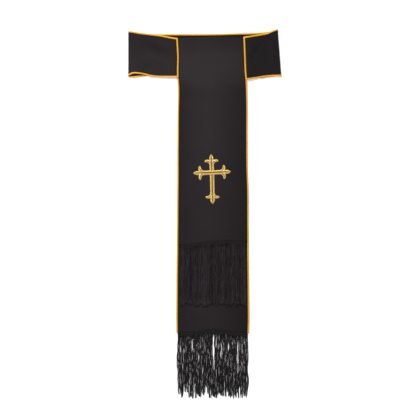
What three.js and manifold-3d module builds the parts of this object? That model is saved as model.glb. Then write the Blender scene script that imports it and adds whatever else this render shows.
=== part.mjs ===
// A cassock cincture laid flat on a table, face up, seen from above.
// The waistband is one strip folded at the left and the right, with its two ends brought forward.
// Two falls lie over its back layer and under its ends: the short one, with an embroidered cross,
// is on top of the long one, and one piping down each side holds them both. Each hem has a fringe.
// Millimetres, +Z up from the table, +Y towards the waistband's top edge. The origin is on the
// table under the middle of the whole outline.
import * as THREE from "three";
import { mergeVertices } from "three/addons/utils/BufferGeometryUtils.js";
import Module from "manifold-3d";

const wasm = await Module();
wasm.setup();

// Driving dimensions
const SEAM_GAP = 0.3;
const BAND_WALL = 1.6;
const FALL_WALL = 1.4;
const PIPING_WIDTH = 4.2;
const BAND_PIPING_HEIGHT = 2.8;
const FALL_PIPING_HEIGHT = 2 * FALL_WALL + SEAM_GAP;
const PIPING_SIDES = 8;
const EDGE_INSET = PIPING_WIDTH / 2 + SEAM_GAP;
const FOLD_STEPS = 8;
const MIDDLE_X = 20;
const MITRE_LIMIT = 0.6;
const WELD_DISTANCE = 1e-4;

// The height of the falls' piping over the table where it crosses the waistband, and the height
// of the middle of the cloth where the waistband's ends lie on that piping. The piping rises a
// little off the table on the waistband's back, and its ends clear the falls by a little more.
const TABLE_CLEARANCE = 0.03;
const END_CLEARANCE = 0.2;
const BACK_EDGE_Z = BAND_PIPING_HEIGHT / 2 + TABLE_CLEARANCE;
const OVER_BACK = BACK_EDGE_Z + BAND_PIPING_HEIGHT / 2 + SEAM_GAP;
const END_Z =
  OVER_BACK + FALL_PIPING_HEIGHT + SEAM_GAP + BAND_PIPING_HEIGHT / 2 + END_CLEARANCE;

// Where an edge slopes so that its square share is under slopeShare, the cloth keeps edgeSlack
// further from the piping.
const SLOPED_EDGE = { slopeShare: 0.97, edgeSlack: 0.3 };

// Shares of the way up the waistband, and how far its piping lifts the cloth beside it.
const BAND_ACROSS = [0, 0.05, 0.13, 0.3, 0.5, 0.7, 0.87, 0.95, 1];
const BAND_EDGE_RUN = 14;

// The waistband, one row for each section across it. x is at the bottom edge and lean moves the
// top edge sideways from there. top and bottom are the y of each piping's middle. zTop, zMiddle
// and zBottom are the heights of the middle of the cloth.
const ON_TABLE = { zTop: BACK_EDGE_Z, zMiddle: BAND_WALL / 2, zBottom: BACK_EDGE_Z };
const AT_END = { zTop: END_Z, zMiddle: END_Z, zBottom: END_Z };

const LEFT_END = { side: "left", top: 444.8, bottom: 348.8, ...AT_END };
const FRONT_LEFT = [
  { x: -77, lean: 0, top: 445.5, bottom: 348.8, ...AT_END },
  { x: -85, lean: 0, top: 447.0, bottom: 348.8, zTop: 7.2, zMiddle: 7.0, zBottom: 7.2 },
  { x: -97, lean: 0, top: 449.4, bottom: 349.1, zTop: 5.8, zMiddle: 5.2, zBottom: 6.0 },
  { x: -113, lean: 0, top: 452.6, bottom: 349.4, zTop: 4.9, zMiddle: 3.9, zBottom: 5.0 },
  { x: -134, lean: 0, top: 455.2, bottom: 351.1, zTop: 4.8, zMiddle: 3.5, zBottom: 5.2 },
  { x: -152, lean: 0, top: 457.2, bottom: 355.4, zTop: 5.0, zMiddle: 4.0, zBottom: 6.5 },
  { x: -167, lean: 0, top: 459.1, bottom: 357.8, zTop: 5.3, zMiddle: 4.8, zBottom: 7.8 },
  { x: -182, lean: 0, top: 461.8, bottom: 358.1, zTop: 5.6, zMiddle: 5.2, zBottom: 7.9 },
];
const LEFT_FOLD = {
  x: -193.6,
  lean: 0,
  outward: -1,
  start: { top: 463.0, bottom: 354.4, zTop: 5.6, zMiddle: 5.0, zBottom: 7.0 },
  end: { top: 463.0, bottom: 349.4, ...ON_TABLE },
};
const BACK_LEFT = [
  { x: -182, lean: 0, top: 461.8, bottom: 348.8, ...ON_TABLE },
  { x: -167, lean: 0, top: 459.1, bottom: 350.0, ...ON_TABLE },
  { x: -152, lean: 0, top: 457.4, bottom: 352.4, ...ON_TABLE },
  { x: -134, lean: 0, top: 455.7, bottom: 353.6, ...ON_TABLE },
  { x: -113, lean: 0, top: 455.6, bottom: 355.2, ...ON_TABLE },
  { x: -95, lean: 0, top: 455.8, bottom: 355.8, ...ON_TABLE },
  { x: -30, lean: 0, top: 455.8, bottom: 355.9, ...ON_TABLE },
];
const BACK_MIDDLE = { x: MIDDLE_X, lean: 0, top: 456.1, bottom: 355.9, ...ON_TABLE };
const BACK_RIGHT = [
  { x: 87, lean: 0, top: 457.8, bottom: 355.9, ...ON_TABLE },
  { x: 123, lean: 0, top: 458.5, bottom: 355.8, ...ON_TABLE },
  { x: 143, lean: 0, top: 459.9, bottom: 354.4, ...ON_TABLE },
  { x: 159, lean: 0, top: 461.0, bottom: 353.2, ...ON_TABLE },
  { x: 173, lean: -4, top: 463.5, bottom: 352.6, ...ON_TABLE },
  { x: 184, lean: -7, top: 466.0, bottom: 352.3, ...ON_TABLE },
];
const RIGHT_FOLD = {
  x: 193.6,
  lean: -8.9,
  outward: 1,
  start: { top: 467.9, bottom: 352.0, ...ON_TABLE },
  end: { top: 467.9, bottom: 352.2, zTop: 5.6, zMiddle: 4.6, zBottom: 5.8 },
};
const FRONT_RIGHT = [
  { x: 184, lean: -7, top: 465.8, bottom: 351.9, zTop: 5.4, zMiddle: 4.4, zBottom: 5.4 },
  { x: 173, lean: -4, top: 462.6, bottom: 351.7, zTop: 5.2, zMiddle: 4.1, zBottom: 5.1 },
  { x: 159, lean: 0, top: 458.4, bottom: 350.7, zTop: 5.0, zMiddle: 3.7, zBottom: 4.9 },
  { x: 146, lean: 0, top: 455.7, bottom: 349.0, zTop: 4.9, zMiddle: 3.7, zBottom: 4.9 },
  { x: 132, lean: 0, top: 453.4, bottom: 346.6, zTop: 5.3, zMiddle: 4.6, zBottom: 5.4 },
  { x: 121, lean: 0, top: 451.3, bottom: 345.0, zTop: 6.8, zMiddle: 6.6, zBottom: 6.8 },
  { x: 113, lean: 0, top: 449.9, bottom: 343.6, ...AT_END },
];
const RIGHT_END = { side: "right", top: 448.0, bottom: 342.8, ...AT_END };

// A soft trough that runs down the left front from near the fold to the falls, and the share of
// its run over which it fades at both ends.
const TROUGH = {
  from: [-166, 441], to: [-84, 402], halfWidth: 17, depth: 0.7, fade: 0.3, beyond: 1.15,
};

// The falls' side edges: the x of each piping's middle, a row for each bend of the edge.
const FALL_EDGES = [
  { y: 452, left: -70.6, right: 99.9 },
  { y: 427, left: -68.9, right: 100.9 },
  { y: 397, left: -67.5, right: 102.1 },
  { y: 366, left: -68.3, right: 103.2 },
  { y: 345, left: -68.1, right: 104.9 },
  { y: 321, left: -65.9, right: 106.2 },
  { y: 290, left: -66.4, right: 107.1 },
  { y: 260, left: -67.2, right: 107.3 },
  { y: 138, left: -67.9, right: 107.2 },
  { y: 107, left: -67.9, right: 107.9 },
  { y: 77, left: -68.0, right: 109.1 },
  { y: 46, left: -68.3, right: 109.7 },
  { y: -91, left: -69.2, right: 110.0 },
  { y: -136, left: -69.9, right: 110.6 },
  { y: -258, left: -70.6, right: 111.8 },
  { y: -302, left: -70.1, right: 110.8 },
];
const FALL_ACROSS = [0, 0.07, 0.2, 0.35, 0.5, 0.65, 0.8, 0.93, 1];
const BAND_ROWS = [433, 414, 395, 376, 367, 359, 350, 344];
const DROP = { top: 337, foot: 292, rows: [337, 329, 321, 313, 305, 297, 290] };
const SAG = {
  depth: 1.2, side: 12, sideRun: 30, foot: 362, footRun: 20, head: 436, headRun: 14, headShare: 0.5,
};

// The edges of the falls: a shallow arch at the top, a hem that rises to the right and dips again
// at its end, and a hem with a low hump.
const TOP_ARCH = { y: 450.3, x: 30, curve: 0.0005, longBelow: 3 };
const SHORT_HEM = { y: -79.5, rise: 10.7, riseX: -65, riseRun: 110, dip: 3, dipX: 70, dipRun: 40 };
const LONG_HEM = { y: -301.5, hump: 7.4, x: 22, halfWidth: 36 };

const SHORT_FALL = {
  top: (x) => TOP_ARCH.y - TOP_ARCH.curve * (x - TOP_ARCH.x) ** 2,
  rows: [...BAND_ROWS, ...DROP.rows, 260, 200, 138, 107, 77, 46, 20, -5, -30, -55],
  hem: (x) => {
    const rise = SHORT_HEM.rise * smooth((x - SHORT_HEM.riseX) / SHORT_HEM.riseRun);
    return SHORT_HEM.y + rise - SHORT_HEM.dip * smooth((x - SHORT_HEM.dipX) / SHORT_HEM.dipRun);
  },
};
const RIPPLE = { foot: 20, run: 60, depth: 0.9, pitch: 74, shift: 28, side: 8, sideRun: 20 };
const LONG_FALL = {
  top: (x) => SHORT_FALL.top(x) - TOP_ARCH.longBelow,
  rows: [...BAND_ROWS, ...DROP.rows, 260, 138, 107, 77, 46, -20, -91, -136, -200, -258, -284],
  hem: (x) => LONG_HEM.y + LONG_HEM.hump * Math.exp(-(((x - LONG_HEM.x) / LONG_HEM.halfWidth) ** 2)),
};

// The fringes. Each has two layers of strands that never touch, with roots in a woven header.
// left and right are the header's ends and tipHigh to tipLow the range of y that the tips reach,
// which tipBias weights towards tipHigh. A strand's last two rings are at least lastStep apart.
const STRAND = {
  radius: 0.75, angles: [210, 330, 90], step: 38, rings: 6, lastStep: 6, rise: 1.45, lowest: 0.825,
  tipScale: 0.7, tipBias: 1.5, firstShare: 0.25, layerShare: 0.5,
};
const HEADER = { depth: 6, thick: 2.9, bottom: 0.3, endRoom: 2 };
const LONG_FRINGE = {
  left: -68.4, right: 109.2, perLayer: 65, tipHigh: -446, tipLow: -472, end: -470, taper: 2,
};
const SHORT_FRINGE = {
  left: -62.5, right: 104, perLayer: 48, tipHigh: -225, tipLow: -238, end: -238, taper: 0,
};
// How strands sway from straight: three waves, each with a size, how far it is from wave to wave
// across and down the fringe, and how much it shifts from one layer to the next. They grow over
// the first SWAY_RUN. The fringe narrows over its first TAPER_RUN.
const SWAYS = [
  { size: 0.8, across: 9.5, down: 31, shift: 2.1 },
  { size: 1.0, across: 23, down: -52, shift: 5.46 },
  { size: 0.35, across: 3.1, down: 17, shift: 2.1 },
];
const SWAY_RUN = 60;
const TAPER_RUN = 150;

// Where the long fringe parts: x, and how far below the header the gap opens and closes.
const PARTINGS = [
  { x: -49, from: 8, to: 36, half: 0.8 },
  { x: -31, from: 10, to: 52, half: 1.1 },
  { x: -28, from: 112, to: 190, half: 2.3 },
  { x: 4, from: 128, to: 190, half: 1.7 },
  { x: 23, from: 2, to: 98, half: 2.2 },
  { x: 43, from: 14, to: 66, half: 1.3 },
  { x: 61, from: 22, to: 44, half: 0.9 },
  { x: 85, from: 10, to: 104, half: 1.7 },
  { x: 89, from: 122, to: 190, half: 1.8 },
];
const PARTING_RUN = 9;
const PARTING_EASE = 16;

// The embroidered cross: arm lengths from the crossing, and one half of an arm's flowered end,
// out from the arm's middle and back from its tip.
const CROSS = { x: 18.7, y: 105.7, halfBar: 5.8, thick: 1.2, rim: 0.4, rimInset: 0.6 };
const ARMS = [
  { length: 46.5, turn: 3.0 },
  { length: 47.5, turn: 91.7 },
  { length: 79.0, turn: 181.1 },
  { length: 47.5, turn: 273.2 },
];
const PETALS = [
  { out: 5.8, back: 29 },
  { out: 6.5, back: 25.4 },
  { out: 8.4, back: 22.3 },
  { out: 12.6, back: 20.9 },
  { out: 16.6, back: 19.3 },
  { out: 17.7, back: 16.4 },
  { out: 15.4, back: 13.6 },
  { out: 10.8, back: 13.2 },
  { out: 6.5, back: 14.4 },
  { out: 5.9, back: 9.0 },
  { out: 3.3, back: 3.4 },
  { out: 0, back: 0 },
];
const PETAL_POINTS = 22;

const BLACK_CLOTH = { color: 0x2c292a, roughness: 0.85, metalness: 0 };
const GOLD_SATIN = { color: 0xe09c2c, roughness: 0.45, metalness: 0 };
const GOLD_THREAD = { color: 0xdcb45a, roughness: 0.4, metalness: 0.3 };
const BLACK_YARN = { color: 0x1f1c1e, roughness: 0.6, metalness: 0 };

// Eases from 0 to 1 as share goes from 0 to 1.
function smooth(share) {
  return THREE.MathUtils.smoothstep(share, 0, 1);
}

// A repeatable number from 0 to 1 for each whole number.
function chance(n) {
  const s = Math.sin(n * 12.9898 + 4.1414) * 43758.5453;
  return s - Math.floor(s);
}

// The x of the falls' edge on one side, at y.
function fallEdge(y, side) {
  const held = THREE.MathUtils.clamp(y, FALL_EDGES.at(-1).y, FALL_EDGES[0].y);
  const after = FALL_EDGES.findIndex((row, i) => i > 0 && held >= row.y);
  const [a, b] = [FALL_EDGES[after - 1], FALL_EDGES[after]];
  return THREE.MathUtils.mapLinear(held, a.y, b.y, a[side], b[side]);
}

// How far a point of the falls is from the nearer side edge.
function fromEdge(x, y) {
  return Math.min(x - fallEdge(y, "left"), fallEdge(y, "right") - x);
}

function geometryFrom(points, indices) {
  const geometry = new THREE.BufferGeometry();
  geometry.setAttribute("position", new THREE.Float32BufferAttribute(points.flat(), 3));
  geometry.setIndex(indices);
  return geometry;
}

// The surface's normal at each point of a grid of points, from its neighbours.
function normalsOf(grid) {
  const last = grid.length - 1;
  return grid.map((row, i) =>
    row.map((_, j) => {
      const along = grid[Math.min(i + 1, last)][j].clone().sub(grid[Math.max(i - 1, 0)][j]);
      const across = row[Math.min(j + 1, row.length - 1)].clone().sub(row[Math.max(j - 1, 0)]);
      return across.cross(along).normalize();
    }),
  );
}

// A wall of even thickness about a grid of points on its middle surface.
function wall(grid, thickness) {
  const normals = normalsOf(grid);
  const wide = grid[0].length;
  const faces = [0.5, -0.5].map((side) =>
    grid.flatMap((row, i) =>
      row.map((p, j) => p.clone().addScaledVector(normals[i][j], side * thickness)),
    ),
  );
  const under = faces[0].length;
  const indices = [];
  const quad = (a, b, c, d) => indices.push(a, b, c, a, c, d);
  for (let i = 0; i + 1 < grid.length; i++) {
    for (let j = 0; j + 1 < wide; j++) {
      const a = i * wide + j;
      quad(a, a + 1, a + wide + 1, a + wide);
      quad(under + a, under + a + wide, under + a + wide + 1, under + a + 1);
    }
  }
  const lastRow = (grid.length - 1) * wide;
  const along = grid.map((_, i) => i * wide);
  const across = grid[0].map((_, j) => j);
  const rim = [
    ...across.slice(0, -1),
    ...along.slice(0, -1).map((a) => a + wide - 1),
    ...across.slice(1).reverse().map((a) => a + lastRow),
    ...along.slice(1).reverse(),
  ];
  rim.forEach((a, k) => {
    const b = rim[(k + 1) % rim.length];
    quad(a, under + a, under + b, b);
  });
  return geometryFrom(faces.flat().map((p) => p.toArray()), indices);
}

// A solid through rings of points, all wound the same way and with as many points each.
function loft(rings) {
  const sides = rings[0].length;
  const end = (rings.length - 1) * sides;
  const indices = [];
  for (let i = 0; i + 1 < rings.length; i++) {
    for (let k = 0; k < sides; k++) {
      const a = i * sides + k;
      const b = i * sides + ((k + 1) % sides);
      indices.push(a, b, b + sides, a, b + sides, a + sides);
    }
  }
  for (let k = 1; k + 1 < sides; k++) {
    indices.push(0, k + 1, k, end, end + k, end + k + 1);
  }
  return geometryFrom(rings.flat().map((p) => p.toArray()), indices);
}

// A flat-topped oval cord along a path, with mitred corners. Each step is a point and which way
// is up there.
function cord(path, height) {
  const flat = Math.cos(Math.PI / PIPING_SIDES);
  const rings = path.map(({ point, up }, i) => {
    const before = path[Math.max(i - 1, 0)].point;
    const after = path[Math.min(i + 1, path.length - 1)].point;
    const arriving = (i > 0 ? point.clone().sub(before) : after.clone().sub(point)).normalize();
    const leaving = (after === point ? arriving.clone() : after.clone().sub(point)).normalize();
    const along = arriving.clone().add(leaving).normalize();
    const upright = up.clone().projectOnPlane(along).normalize();
    const aside = upright.clone().cross(along);
    const square = upright.clone().cross(arriving).normalize();
    const mitre = 1 / Math.max(aside.dot(square), MITRE_LIMIT);
    return Array.from({ length: PIPING_SIDES }, (_, k) => {
      const angle = ((k + 0.5) * 2 * Math.PI) / PIPING_SIDES;
      return point
        .clone()
        .addScaledVector(aside, (Math.cos(angle) * PIPING_WIDTH * mitre) / (2 * flat))
        .addScaledVector(upright, (Math.sin(angle) * height) / (2 * flat));
    });
  });
  return loft(rings);
}

// How deep the trough in the left front is at a point.
function troughAt(x, y) {
  const [ax, ay] = TROUGH.from;
  const run = new THREE.Vector2(TROUGH.to[0] - ax, TROUGH.to[1] - ay);
  const offset = new THREE.Vector2(x - ax, y - ay);
  const along = offset.dot(run) / run.lengthSq();
  const aside = Math.abs(offset.cross(run)) / run.length();
  const ends = smooth(along / TROUGH.fade) * smooth((TROUGH.beyond - along) / TROUGH.fade);
  return TROUGH.depth * ends * Math.exp(-((aside / TROUGH.halfWidth) ** 2));
}

// A point of the waistband's middle surface on one section, at a share of its height.
function sectionPoint(section, share) {
  const height = section.top - section.bottom;
  const y = section.bottom + height * share;
  const byBottom = 1 - smooth((share * height) / BAND_EDGE_RUN);
  const byTop = 1 - smooth(((1 - share) * height) / BAND_EDGE_RUN);
  const z =
    section.zMiddle +
    (section.zBottom - section.zMiddle) * byBottom +
    (section.zTop - section.zMiddle) * byTop;
  return new THREE.Vector3(section.x + section.lean * share, y, z);
}

// An end of the waistband, which lies along the falls' edge, or a line a little way in from it
// towards the next section.
function endPoint(end, next, share, inset) {
  const point = sectionPoint({ x: 0, lean: 0, ...end }, share);
  point.setX(fallEdge(point.y, end.side));
  const inner = sectionPoint(next, share);
  return point.lerp(inner, inset / point.distanceTo(inner));
}

// A point of a fold: a half circle from the stretch before it to the one after.
function foldPoint(fold, share, turn) {
  const start = sectionPoint({ ...fold, ...fold.start }, share);
  const end = sectionPoint({ ...fold, ...fold.end }, share);
  const radius = Math.abs(start.z - end.z) / 2;
  const arm = start.clone().sub(end).multiplyScalar(0.5 * Math.cos(turn));
  const point = start.clone().lerp(end, 0.5).add(arm);
  point.x += fold.outward * radius * (Math.sin(turn) - 1);
  return point;
}

// The waistband's sections in order round it, each a function of the share of its height.
function bandSections(endInset) {
  const plain = (rows) => rows.map((row) => (share) => sectionPoint(row, share));
  const troughed = (rows) =>
    plain(rows).map((section) => (share) => {
      const point = section(share);
      return point.setZ(point.z - troughAt(point.x, point.y));
    });
  const round = (fold) =>
    Array.from({ length: FOLD_STEPS + 1 }, (_, k) => (share) =>
      foldPoint(fold, share, (k * Math.PI) / FOLD_STEPS),
    );
  return {
    left: [
      (share) => endPoint(LEFT_END, FRONT_LEFT[0], share, endInset),
      ...troughed(FRONT_LEFT),
      ...round(LEFT_FOLD),
      ...plain(BACK_LEFT),
    ],
    middle: (share) => sectionPoint(BACK_MIDDLE, share),
    right: [
      ...plain(BACK_RIGHT),
      ...round(RIGHT_FOLD),
      ...plain(FRONT_RIGHT),
      (share) => endPoint(RIGHT_END, FRONT_RIGHT.at(-1), share, endInset),
    ],
  };
}

// How far up a section the cloth starts, as a share, to stay clear of the piping on an edge that
// may slope.
function edgeShare(sections, i, edge) {
  const before = sections[Math.max(i - 1, 0)](edge);
  const after = sections[Math.min(i + 1, sections.length - 1)](edge);
  const along = after.sub(before).normalize();
  const across = sections[i](1).sub(sections[i](0));
  const square = along.cross(across).length() / across.length();
  const slack = square < SLOPED_EDGE.slopeShare ? SLOPED_EDGE.edgeSlack : 0;
  return (EDGE_INSET + slack) / square / across.length();
}

// The waistband's cloth stops short of the piping's middle on every edge.
function waistbandCloth() {
  const { left, middle, right } = bandSections(EDGE_INSET);
  const sections = [...left, middle, ...right];
  const grid = sections.map((section, i) => {
    const low = edgeShare(sections, i, 0);
    const high = 1 - edgeShare(sections, i, 1);
    return BAND_ACROSS.map((share) => section(THREE.MathUtils.lerp(low, high, share)));
  });
  return wall(grid, BAND_WALL);
}

// Piping round one half of the waistband, from the middle of the back's top edge to the middle
// of its bottom edge by way of the end.
function waistbandPiping(side) {
  const { left, middle, right } = bandSections(0);
  const outward = side === "left" ? -1 : 1;
  const start = (share) => middle(share).setX(MIDDLE_X + (outward * SEAM_GAP) / 2);
  const sections = side === "left" ? [...left, start] : [start, ...right];
  const grid = sections.map((section) => BAND_ACROSS.map(section));
  const normals = normalsOf(grid);
  const steps = grid.map((row, i) => row.map((point, j) => ({ point, up: normals[i][j] })));
  const fromBack = side === "left" ? steps.reverse() : steps;
  const path = [
    ...fromBack.map((row) => row.at(-1)),
    ...fromBack.at(-1).slice(1, -1).reverse(),
    ...fromBack.toReversed().map((row) => row[0]),
  ];
  return cord(path, BAND_PIPING_HEIGHT);
}

// How high the underside of the falls is over the table.
function fallBase(x, y) {
  const over = smooth((y - DROP.foot) / (DROP.top - DROP.foot));
  const sides = smooth((fromEdge(x, y) - SAG.side) / SAG.sideRun);
  const foot = smooth((y - SAG.foot) / SAG.footRun);
  const head = 1 - SAG.headShare * smooth((y - SAG.head) / SAG.headRun);
  return over * (OVER_BACK - SAG.depth * sides * foot * head);
}

// The middle of the long fall's cloth.
function longHeight(x, y) {
  return fallBase(x, y) + FALL_WALL / 2;
}

// The middle of the short fall's cloth, which lies on the long one and ripples near its hem.
function shortHeight(x, y) {
  const wave = 0.5 - 0.5 * Math.cos((2 * Math.PI * (x - RIPPLE.shift)) / RIPPLE.pitch);
  const low = smooth((RIPPLE.foot - y) / RIPPLE.run);
  const inside = smooth((fromEdge(x, y) - RIPPLE.side) / RIPPLE.sideRun);
  return longHeight(x, y) + FALL_WALL + SEAM_GAP + RIPPLE.depth * wave * low * inside;
}

// Where the points of one row of a fall's cloth are, from right to left.
function rowStations(yAt) {
  const left = fallEdge(yAt(fallEdge(yAt(MIDDLE_X), "left")), "left") + EDGE_INSET;
  const right = fallEdge(yAt(fallEdge(yAt(MIDDLE_X), "right")), "right") - EDGE_INSET;
  return FALL_ACROSS.map((share) => THREE.MathUtils.lerp(right, left, share));
}

// A fall's cloth: rows from its top edge to its hem.
function fallCloth(fall, height) {
  const lines = [fall.top, ...fall.rows.map((y) => () => y), fall.hem];
  const grid = lines.map((yAt) =>
    rowStations(yAt).map((x) => new THREE.Vector3(x, yAt(x), height(x, yAt(x)))),
  );
  return wall(grid, FALL_WALL);
}

// Piping down one side of both falls.
function fallPiping(side) {
  const up = new THREE.Vector3(0, 0, 1);
  const x = fallEdge(SHORT_FALL.top(0), side);
  const levels = [SHORT_FALL.top(x), ...LONG_FALL.rows, LONG_FALL.hem(x)];
  const path = levels.map((y) => {
    const edge = fallEdge(y, side);
    const z = fallBase(edge, y) + FALL_PIPING_HEIGHT / 2;
    return { point: new THREE.Vector3(edge, y, z), up };
  });
  return cord(path, FALL_PIPING_HEIGHT);
}

// How far the fringe's strands sway sideways from where they hang, below the header.
function sway(x, below, layer) {
  const loose = Math.min(below / SWAY_RUN, 1);
  return SWAYS.reduce((sum, wave) => {
    const turn = x / wave.across + below / wave.down + wave.shift * layer;
    return sum + loose * wave.size * Math.sin(turn);
  }, 0);
}

// How far a strand stands off the partings near it.
function parted(x, below) {
  return PARTINGS.reduce((sum, parting) => {
    const opens = smooth((below - parting.from) / PARTING_EASE);
    const closes = smooth((parting.to - below) / PARTING_EASE);
    const aside = x - parting.x;
    const falloff = Math.exp(-Math.abs(aside) / PARTING_RUN);
    return sum + parting.half * opens * closes * Math.sign(aside) * falloff;
  }, 0);
}

// The x of every strand of a layer at one depth, in order and never too close.
function strandRow(fringe, layer, below) {
  const least = STRAND.radius * Math.sqrt(3) + SEAM_GAP;
  const width = fringe.right - fringe.left;
  const row = Array.from({ length: fringe.perLayer }, (_, n) => {
    const place = n + STRAND.firstShare + STRAND.layerShare * layer;
    const x = fringe.left + (width * place) / fringe.perLayer;
    const gathered = (fringe.taper * 2 * (x - MIDDLE_X) * Math.min(below / TAPER_RUN, 1)) / width;
    const apart = fringe === LONG_FRINGE ? parted(x, below) : 0;
    return x - gathered + sway(x, below, layer) + apart;
  });
  for (let n = 1; n < row.length; n++) {
    row[n] = Math.max(row[n], row[n - 1] + least);
  }
  return row;
}

// One strand, from inside the header down to its tip.
function strand(fringe, hem, ground, layer, n, depths, rows) {
  const root = hem(rows[0][n]) - SEAM_GAP - HEADER.depth;
  const low = chance(n * 2 + layer) ** STRAND.tipBias;
  const tip = THREE.MathUtils.lerp(fringe.tipHigh, fringe.tipLow, low);
  const length = root - Math.max(tip, fringe.end);
  const stops = [...depths.filter((depth) => depth < length - STRAND.lastStep), length];
  const rings = stops.map((depth, k) => {
    const after = Math.max(depths.findIndex((d) => d >= depth), 1);
    const share = THREE.MathUtils.inverseLerp(depths[after - 1], depths[after], depth);
    const x = THREE.MathUtils.lerp(rows[after - 1][n], rows[after][n], share);
    const y = root - depth;
    const radius = STRAND.radius * (k === stops.length - 1 ? STRAND.tipScale : 1);
    const z = ground(x, y) + STRAND.lowest + layer * STRAND.rise;
    return STRAND.angles.map((degrees) => {
      const angle = THREE.MathUtils.degToRad(degrees);
      return new THREE.Vector3(x + radius * Math.cos(angle), y, z + radius * Math.sin(angle));
    });
  });
  return loft(rings);
}

// A fringe of strands of three sides, joined to its header.
function fringeSolid(fringe, hem, ground) {
  const [low, high] = [fringe.left + HEADER.endRoom, fringe.right - HEADER.endRoom];
  const inside = rowStations(hem).filter((x) => x > low && x < high);
  const header = [fringe.left, ...inside.reverse(), fringe.right].map((x) => {
    return [0, 1].map((share) => {
      const y = hem(x) - SEAM_GAP - HEADER.depth * share;
      return new THREE.Vector3(x, y, ground(x, y) + HEADER.bottom + HEADER.thick / 2);
    });
  });
  const depths = Array.from(
    { length: STRAND.rings },
    (_, i) => i * STRAND.step - HEADER.depth / 2,
  );
  const strands = [0, 1].flatMap((layer) => {
    const rows = depths.map((below) => strandRow(fringe, layer, Math.max(below, 0)));
    return rows[0].map((_, n) => strand(fringe, hem, ground, layer, n, depths, rows));
  });
  return joined([wall(header, HEADER.thick), ...strands]);
}

// Closed geometries joined into one solid.
function joined(geometries) {
  const solids = geometries.map((geometry) => {
    const merged = mergeVertices(geometry, WELD_DISTANCE);
    const vertProperties = merged.attributes.position.array;
    const triVerts = new Uint32Array(merged.index.array);
    return new wasm.Manifold(new wasm.Mesh({ numProp: 3, vertProperties, triVerts }));
  });
  const mesh = solids.reduce((all, solid) => all.add(solid)).getMesh();
  const geometry = new THREE.BufferGeometry();
  geometry.setAttribute("position", new THREE.BufferAttribute(mesh.vertProperties, 3));
  geometry.setIndex(new THREE.BufferAttribute(mesh.triVerts, 1));
  return geometry;
}

// The cross's outline: each arm's half end and its mirror image, anticlockwise.
function crossOutline() {
  const half = new THREE.SplineCurve(PETALS.map((p) => new THREE.Vector2(p.out, p.back)));
  const points = half.getPoints(PETAL_POINTS);
  return ARMS.flatMap((arm) => {
    const rising = points.map((p) => new THREE.Vector2(p.x, arm.length - p.y));
    const falling = rising.slice(0, -1).reverse().map((p) => new THREE.Vector2(-p.x, p.y));
    const corner = new THREE.Vector2(-CROSS.halfBar, CROSS.halfBar);
    const turn = THREE.MathUtils.degToRad(arm.turn);
    return [...rising, ...falling, corner].map((p) =>
      p.rotateAround(new THREE.Vector2(), turn),
    );
  });
}

// The cross, padded and rounded over at its rim.
function crossSolid() {
  const geometry = new THREE.ExtrudeGeometry(new THREE.Shape(crossOutline()), {
    depth: CROSS.thick - 2 * CROSS.rim,
    bevelThickness: CROSS.rim,
    bevelSize: CROSS.rimInset,
    bevelOffset: -CROSS.rimInset,
    bevelSegments: 1,
    curveSegments: 1,
  });
  geometry.deleteAttribute("normal");
  geometry.deleteAttribute("uv");
  const cloth = shortHeight(CROSS.x, CROSS.y) + FALL_WALL / 2;
  geometry.translate(CROSS.x, CROSS.y, cloth + SEAM_GAP + CROSS.rim);
  return mergeVertices(geometry, WELD_DISTANCE);
}

function named(name, geometry, finish) {
  const mesh = new THREE.Mesh(geometry, new THREE.MeshStandardMaterial(finish));
  mesh.name = name;
  return mesh;
}

const onLongFall = (x, y) => longHeight(x, y) + FALL_WALL / 2;
const onTable = () => 0;

const cincture = new THREE.Group();
cincture.add(
  named("waistband", waistbandCloth(), BLACK_CLOTH),
  named("waistband_piping_left", waistbandPiping("left"), GOLD_SATIN),
  named("waistband_piping_right", waistbandPiping("right"), GOLD_SATIN),
  named("long_fall", fallCloth(LONG_FALL, longHeight), BLACK_CLOTH),
  named("short_fall", fallCloth(SHORT_FALL, shortHeight), BLACK_CLOTH),
  named("fall_piping_left", fallPiping("left"), GOLD_SATIN),
  named("fall_piping_right", fallPiping("right"), GOLD_SATIN),
  named("long_fringe", fringeSolid(LONG_FRINGE, LONG_FALL.hem, onTable), BLACK_YARN),
  named("short_fringe", fringeSolid(SHORT_FRINGE, SHORT_FALL.hem, onLongFall), BLACK_YARN),
  named("embroidered_cross", crossSolid(), GOLD_THREAD),
);

export default cincture;
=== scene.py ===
"""A black cassock cincture with gold piping, laid flat on a pale table and seen from above.

The solid model is the fixed frame. Each piece here takes the place of one of its soft solids, with
the same sizes and a finer surface: cloth shells, corded piping, stitches, yarn and satin stitch.
"""

import bpy
import numpy as np
from bpy.props import FloatProperty, FloatVectorProperty, IntProperty, PointerProperty
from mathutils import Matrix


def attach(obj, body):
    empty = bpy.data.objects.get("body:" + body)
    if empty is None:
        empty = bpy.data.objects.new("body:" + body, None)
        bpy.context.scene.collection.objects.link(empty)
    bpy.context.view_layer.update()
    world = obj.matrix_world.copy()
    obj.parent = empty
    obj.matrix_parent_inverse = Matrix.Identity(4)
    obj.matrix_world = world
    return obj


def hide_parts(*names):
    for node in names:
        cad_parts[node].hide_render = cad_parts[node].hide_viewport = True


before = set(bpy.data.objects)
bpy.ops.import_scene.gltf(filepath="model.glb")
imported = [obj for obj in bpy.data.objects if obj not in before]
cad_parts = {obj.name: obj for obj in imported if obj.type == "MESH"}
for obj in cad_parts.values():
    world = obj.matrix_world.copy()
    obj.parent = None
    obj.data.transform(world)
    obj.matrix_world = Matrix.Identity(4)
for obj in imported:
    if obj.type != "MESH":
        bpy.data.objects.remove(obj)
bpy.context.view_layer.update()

bl_info = {
    "name": "Cassock Cincture",
    "version": (1, 0, 0),
    "blender": (4, 5, 0),
    "location": "3D View > Sidebar > Cincture",
    "description": "Makes the cloth, piping, stitching, fringes and cross of a cassock cincture",
    "category": "Object",
}

MM = 0.001


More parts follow.
